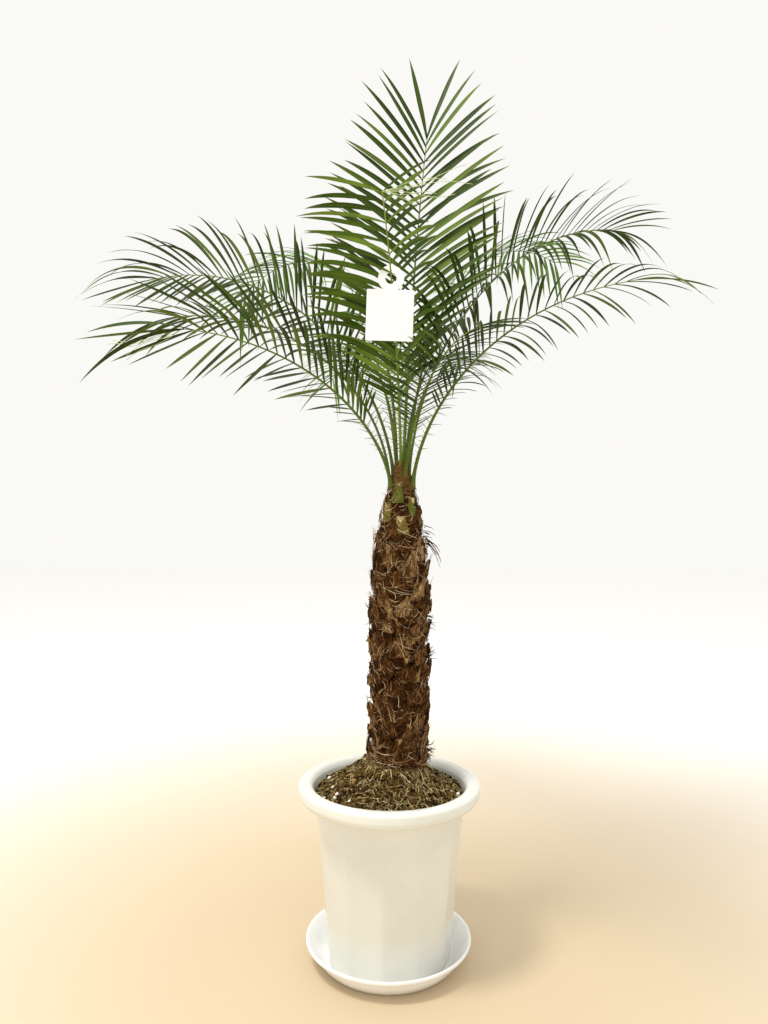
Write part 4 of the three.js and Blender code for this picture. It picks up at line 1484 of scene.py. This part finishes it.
    def faced(self, middle: Array, along: Array, key: Array, t: Array) -> Array:
        """Works out which way the leaflets' width lies.

        Args:
            middle: Points of each midline, (leaflets, points, 3).
            along: The rachis's direction at each foot.
            key: Each leaflet's key.
            t: The points' shares of the midline.

        Returns:
            The direction across the blade at each point.
        """
        tangent = unit(np.gradient(middle, axis=1))
        flat = unit(along - tangent * np.sum(along * tangent, -1, keepdims=True))
        level = unit(np.cross(tangent, [0.0, 0.0, 1.0]))
        level = level * np.sign(np.sum(level * flat, -1, keepdims=True))
        flat = unit(mix(flat, level, self.sky * (1.0 - tangent[..., 2:] ** 2)))
        twist = np.radians(wobble(key + 400) * (8 + 22 * self.sky) + 20 * wobble(key + 450) * t)[..., None]
        return flat * np.cos(twist) + np.cross(tangent, flat) * np.sin(twist)

    @staticmethod
    def held_in(middle: Array) -> Array:
        """Shortens the midlines that would reach past the solids' box, each towards its own foot.

        Args:
            middle: Points of each midline, (leaflets, points, 3).

        Returns:
            The midlines, each scaled about its foot by the share of its way that lies inside the box.
        """
        foot = middle[:, :1]
        way = middle[:, -1:] - foot
        wall = np.where(way > 0, CAD_BOX[1], CAD_BOX[0]) - np.sign(way) * Frond.BOX_MARGIN
        share = np.clip((wall - foot) / np.where(np.abs(way) < 1e-9, 1e-9, way), 0.0, 1.0)
        return foot + (middle - foot) * share.min(-1, keepdims=True)

    def spines(self) -> Array:
        """The spines on the bare stalk, longer towards the first leaflets.

        Returns:
            Points, (spines, points, 3).
        """
        pairs = self.SPINE_PAIRS
        place = np.repeat(np.arange(pairs), 2)
        hand = np.tile([-1.0, 1.0], pairs)
        key = self.number * 500 + place * 2 + hand
        line = self.at(mix(0.075, 0.265, (place + 0.4 * wobble(key)) / pairs + 0.02))
        angle, rise = np.radians(66 + 14 * wobble(key + 3)), np.radians(20 + 25 * wobble(key + 5))
        long = (mix(0.010, 0.040, (place / pairs) ** 1.4) * (1 + 0.35 * wobble(key + 7)))[:, None]
        t = np.linspace(0, 1, self.SPINE_POINTS)
        path = line["point"][:, None] + self.toward(line, hand, angle, rise)[:, None] * (t * long)[..., None]
        path[..., 2] -= 0.12 * long * t**2
        return path


FRONDS = (
    Frond("frond_crown_back", Ring.HEART, 65, (5, 13), 1.1, 0.658, -2, (21, 28), 0.203, -0.12, (66, 18), 30,
          0.18, 0, LeafTone.GREEN, 0, skew=-4, halves=False, blade=0.0106, sky=0.0),
    Frond("frond_crown_front", Ring.HEART, 263, (12, 62), 1, 0.498, 0, (35, 28), 0.168, -0.5, (88, 88), 36,
          0.38, 0.05, LeafTone.FRESH, 1, skew=-10, halves=False, blade=0.0094, sky=0.1),
    Frond("frond_left_high", Ring.MIDDLE, 157, (3, 92), 0.83, 0.770, -3, (76, 39), 0.214, 0.25, (22, 11), 26,
          0.22, -0.8, LeafTone.GREEN, 2, skew=-4, sky=0.45),
    Frond("frond_left_low", Ring.OUTER, 207, (3, 90), 0.64, 0.478, -2, (8, 35), 0.168, 0, (74, 5), 14,
          0.35, -0.85, LeafTone.GREEN, 3, skew=16, sky=0.55),
    Frond("frond_left_mid", Ring.OUTER, 180, (1, 98), 0.92, 0.545, 6, (15, 25), 0.138, 0.15, (30, 15), 22,
          0.34, 0.5, LeafTone.GREEN, 4),
    Frond("frond_back_left", Ring.MIDDLE, 122, (2, 125), 1.5, 0.830, 18, (0, 10), 0.140, 0, (36, 30), 10,
          0.85, 0, LeafTone.BACKLIT, 5, sky=0.3),
    Frond("frond_right_high", Ring.MIDDLE, 21, (3, 82), 1, 0.794, 11, (-60, -5), 0.205, -0.45, (24, 5), 32,
          0.66, -0.3, LeafTone.GREEN, 6, skew=17, blade=0.0062, sky=0.8),
    Frond("frond_right_low", Ring.OUTER, -14, (3, 84), 0.83, 0.560, 2, (-31, -24), 0.124, 0.25, (62, 5), 13,
          0.7, 0.2, LeafTone.GREEN, 7, skew=-3, blade=0.0062, sky=0.8),
    Frond("frond_back_right", Ring.MIDDLE, 52, (8, 101), 1.6, 0.783, -12, (0, -20), 0.142, 0, (36, 28), 15,
          0.75, 0, LeafTone.BACKLIT, 8, sky=0.3),
    Frond("frond_back_low", Ring.OUTER, 106, (6, 114), 1, 0.640, 4, (0, 0), 0.150, 0, (34, 22), 15,
          0.55, 0, LeafTone.BACKLIT, 9),
    Frond("frond_back_side", Ring.OUTER, 73, (7, 100), 1.05, 0.530, -6, (0, 0), 0.142, 0, (34, 22), 15,
          0.6, 0, LeafTone.DEEP, 10),
    Frond("frond_front_low", Ring.MIDDLE, 294, (8, 92), 1, 0.370, -4, (0, 0), 0.112, 0, (34, 22), 15,
          0.6, 0, LeafTone.GREEN, 11, blade=0.0060),
)


@dataclass
class Crown:
    """The fronds, the brown fibre sheath round their feet, their spines and the loose leaf threads."""

    fronds: Sequence[Frond] = FRONDS
    sheath_foot: float = 0.834
    sheath_top: float = 0.884
    sheath_wide: float = 0.0235
    sheath_narrow: float = 0.0105
    sheath_sides: int = 48
    sheath_rows: int = 26
    sheath_strands: int = 420
    strand_rows: int = 8
    right_threads: int = 7
    left_threads: int = 6
    thread_rows: int = 16
    strand_radius: float = 0.00035
    thread_radius: float = 0.00045
    spine_radius: float = 0.0008
    seed: int = 23

    def sheath_size(self, share: Array) -> Array:
        """Returns the sheath's radius: from its foot to its top by the share to the power 0.8."""
        return mix(self.sheath_wide, self.sheath_narrow, share**0.8)

    def sheath(self) -> Shape:
        """The sheath: a cone of netting with a ragged top, uneven by noise round and up it.

        Returns:
            The shape.
        """
        turn = full_circle(self.sheath_sides)
        share = np.linspace(0, 1, self.sheath_rows)[:, None]
        height = mix(self.sheath_foot, self.sheath_top, share) + 0.006 * share**3 * wobble(np.floor(turn * 3))
        grain = points_of(2 * np.cos(turn), 2 * np.sin(turn), height * 220)
        relief = 0.0016 * value_noise(grain, 8) + 0.0008 * value_noise(grain * 2.3, 9)
        return tubes(Trunk().around(turn, self.sheath_size(share) + relief, height)[None])

    def wraps(self, rng: np.random.Generator) -> Array:
        """The sheath's strands: thin fibres that wind round the neck, rising or falling.

        Args:
            rng: The seeded generator.

        Returns:
            Points, (strands, rows, 3).
        """
        t = np.linspace(0, 1, self.strand_rows)
        column = (self.sheath_strands, 1)
        foot, top = self.sheath_foot, self.sheath_top
        start = rng.uniform(foot - 0.004, top, column)
        z = np.clip(start + rng.normal(0, 0.006, column) * t, foot - 0.006, top + 0.003)
        share = np.clip((z - foot) / (top - foot), 0, 1)
        size = self.sheath_size(share) + rng.uniform(0.0004, 0.0024, column)
        return Trunk().around(rng.uniform(0, 6.3, column) + rng.normal(0, 0.9, column) * t, size, z)

    def threads(self, rng: np.random.Generator) -> Array:
        """The pale threads that hang from two frond tips, where leaf edges have torn loose.

        Each starts at its frond's tip, runs out sideways and curls: its height waves with its share.

        Args:
            rng: The seeded generator.

        Returns:
            Points, (threads, rows, 3).
        """
        front, low = (self.fronds[k].rachis()["point"][-1] for k in (1, 3))
        right, left = self.right_threads, self.left_threads
        starts = np.repeat([front, low], [right, left], axis=0)
        to_right = [rng.uniform(*span, right) for span in ((-0.02, 0.03), (-0.005, 0.03))]
        to_left = [rng.uniform(*span, left) for span in ((-0.12, -0.07), (-0.02, 0.02), (-0.07, -0.02))]
        reach = np.concatenate([[np.linspace(0.05, 0.13, right), *to_right], to_left], axis=1).T
        t = np.linspace(0, 1, self.thread_rows)
        path = starts[:, None] + reach[:, None] * t[:, None]
        wave = 0.010 * np.sin(np.arange(len(starts))[:, None] * 1.9 + 5.0 * t) * t
        path[..., 2] += wave
        path[..., 1] += 0.6 * wave
        return path

    def build(self) -> None:
        """Makes and places every piece of the crown."""
        rng = np.random.default_rng(self.seed)
        for frond in self.fronds:
            greens, stalk = Palette.leaves(frond.tone), [Palette.stalk(frond.tone)]
            name, nodes = frond.name + "_leaflets", frond.nodes()
            Piece(name, frond.leaflets(), greens, "frond", nodes, creased_sides=4).place()
            Piece(frond.name + "_stalk", frond.stalk(), stalk, "frond").place()
        spines = np.concatenate([frond.spines() for frond in self.fronds])
        taper = 1 - 0.85 * np.linspace(0, 1, spines.shape[1])
        spines = strands(spines, self.spine_radius * taper, 4)
        Piece("stalk_spines", spines, [Palette.SPINE], "frond").place()
        Piece("neck_sheath", self.sheath(), [Palette.SHEATH[0]], "bark").place()
        wraps = strands(self.wraps(rng), np.array(self.strand_radius))
        Piece("neck_strands", wraps, [Palette.SHEATH[1]], "bark").place()
        threads = strands(self.threads(rng), np.array(self.thread_radius), 4)
        Piece("leaf_threads", threads, [Palette.THREAD], "frond").place()


# ------------------------------------------------------------------ card
@dataclass
class Card:
    """The blank card: a rounded sheet with a ring above it that hangs on the front frond's rachis."""

    bearer: Frond = FRONDS[1]
    width: float = 0.074
    height: float = 0.080
    thick: float = 0.0012
    ring_outer: float = 0.0205
    ring_inner: float = 0.0088
    ring_rise: float = 0.0175
    along: float = 0.715
    turn: float = 1.6
    corner: float = 0.0015
    ring_steps: int = 64
    section_steps: int = 12

    def middle(self) -> Array:
        """Works out the ring's middle, so that its hole's upper edge rests on the rachis.

        Returns:
            The point.
        """
        line = self.bearer.at(np.array([self.along]))
        lean = math.asin(float(np.hypot(*line["along"][0, :2])))
        half_depth = float(self.bearer.width(np.array(self.along))) * 0.5 / math.sin(lean)
        return line["point"][0] + [0, 0, half_depth - self.ring_inner + 0.0006]

    def sheet(self) -> Array:
        """Works out the card's outline: a rectangle with rounded corners, counter-clockwise.

        Returns:
            Its points, (points, 2), measured from the ring's middle.
        """
        x, top, low, r = self.width / 2, -self.ring_rise, -self.ring_rise - self.height, self.corner
        centres = [(x - r, top - r), (-x + r, top - r), (-x + r, low + r), (x - r, low + r)]
        turns = np.linspace(0, np.pi / 2, 5) + np.arange(4)[:, None] * np.pi / 2
        arcs = r * np.stack([np.cos(turns), np.sin(turns)], -1)
        return (np.array(centres)[:, None] + arcs).reshape(-1, 2)

    def hung(self, flat: Array, depth: Array) -> Array:
        """Sets points of the card's own plane at their place, turned a little about the ring's middle.

        Args:
            flat: Their x and z.
            depth: How far each lies before the plane.

        Returns:
            The points.
        """
        turn = math.radians(self.turn)
        x = flat[..., 0] * math.cos(turn) + flat[..., 1] * math.sin(turn)
        z = -flat[..., 0] * math.sin(turn) + flat[..., 1] * math.cos(turn)
        return self.middle() + points_of(x, -depth, z)

    def build(self) -> None:
        """Makes the card and its ring as one piece and places it."""
        outline = self.sheet()
        centre = outline.mean(0)
        edge = np.array([0.985, 1.0, 1.0, 0.985])[:, None, None]
        depth = self.thick * np.array([-0.5, -0.3, 0.3, 0.5])[:, None]
        card = tubes(self.hung(centre + (outline - centre) * edge, depth)[None])
        turn, section = full_circle(self.ring_steps)[:, None], full_circle(self.section_steps)
        mid, half = (self.ring_outer + self.ring_inner) / 2, (self.ring_outer - self.ring_inner) / 2
        radius = mid - half * np.sign(np.cos(section)) * np.abs(np.cos(section)) ** 0.35
        off = self.thick * 0.5 * np.sign(np.sin(section)) * np.abs(np.sin(section)) ** 0.5
        flat = np.stack([radius * np.cos(turn), radius * np.sin(turn)], -1)
        ring = tubes(self.hung(flat, off)[None], closed_loop=True)
        both = Shape.joined([card, ring])
        Piece("blank_card", both, [Palette.CARD], "card", ["plant_label"], smooth_faces=False).place()


# ------------------------------------------------------------------ studio
@dataclass
class Studio:
    """The floor, the light and the camera, which stands 1.38 m before the pot and looks almost level."""

    eye: tuple[float, float, float] = (-0.0122, -1.3818, 0.7985)
    pitch: float = -0.15
    roll: float = 0.32
    focal_pixels: float = 770.0
    frame_height: int = 1024
    sensor: float = 36.0
    half_floor: float = 9.0
    world_strength: float = 0.96

    def floor(self) -> None:
        """Lays a wide pale floor."""
        mesh = bpy.data.meshes.new("floor")
        far = self.half_floor
        mesh.from_pydata([(-far, -far, 0), (far, -far, 0), (far, far, 0), (-far, far, 0)], [], [(0, 1, 2, 3)])
        mesh.materials.append(Palette.FLOOR.material())
        floor = linked("floor", mesh)

    @staticmethod
    def lamp(name: str, where: Sequence[float], aim: Sequence[float], size: float, power: float) -> None:
        """Hangs one square soft lamp.

        Args:
            name: Its name.
            where: Its place.
            aim: The place that it is turned towards.
            size: Its side, in metres.
            power: Its power, in watts.
        """
        data = bpy.data.lights.new(name, "AREA")
        data.size = size
        data.energy = power
        data.color = (1.0, 0.98, 0.94)
        lamp = linked(name, data)
        lamp.location = where
        lamp.rotation_euler = (Vector(aim) - Vector(where)).to_track_quat("-Z", "Y").to_euler()

    def camera(self) -> None:
        """Sets the camera: its right and up axes are turned by the roll, and it looks along the pitch."""
        pitch, roll = math.radians(self.pitch), math.radians(self.roll)
        ahead = np.array([0.0, math.cos(pitch), math.sin(pitch)])
        above = np.array([0.0, -math.sin(pitch), math.cos(pitch)])
        right = np.array([1.0, 0.0, 0.0])
        across = math.cos(roll) * right + math.sin(roll) * above
        upward = math.cos(roll) * above - math.sin(roll) * right
        data = bpy.data.cameras.new("camera")
        data.sensor_width = self.sensor
        data.lens = self.focal_pixels * self.sensor / self.frame_height
        camera = linked("camera", data)
        matrix = np.eye(4)
        matrix[:3, :3] = np.stack([across, upward, -ahead], -1)
        matrix[:3, 3] = self.eye
        camera.matrix_world = Matrix(matrix.tolist())
        bpy.context.scene.camera = camera

    def build(self) -> None:
        """Sets the whole studio, with an even pale light from all sides besides the lamps."""
        self.floor()
        self.lamp("key", (-1.1, -0.75, 3.2), (0, 0, 0.5), 0.6, 60)
        self.lamp("top", (-0.1, 0.2, 3.4), (0, 0, 0.6), 1.5, 30)
        world = bpy.data.worlds.new("pale_room")
        world.use_nodes = True
        background = world.node_tree.nodes["Background"]
        background.inputs[0].default_value = srgb(255, 254, 250)
        background.inputs[1].default_value = self.world_strength
        bpy.context.scene.world = world
        bpy.context.scene.view_settings.view_transform = "Standard"
        self.camera()


def main() -> None:
    """Builds the plant from the floor up."""
    logging.basicConfig(level=logging.INFO, format="%(name)s %(message)s")
    Studio().build()
    for part in (Saucer(), Pot(), Soil(), Trunk(), Crown(), Card()):
        LOG.info("building %s", type(part).__name__)
        part.build()


if __name__ == "__main__":
    main()
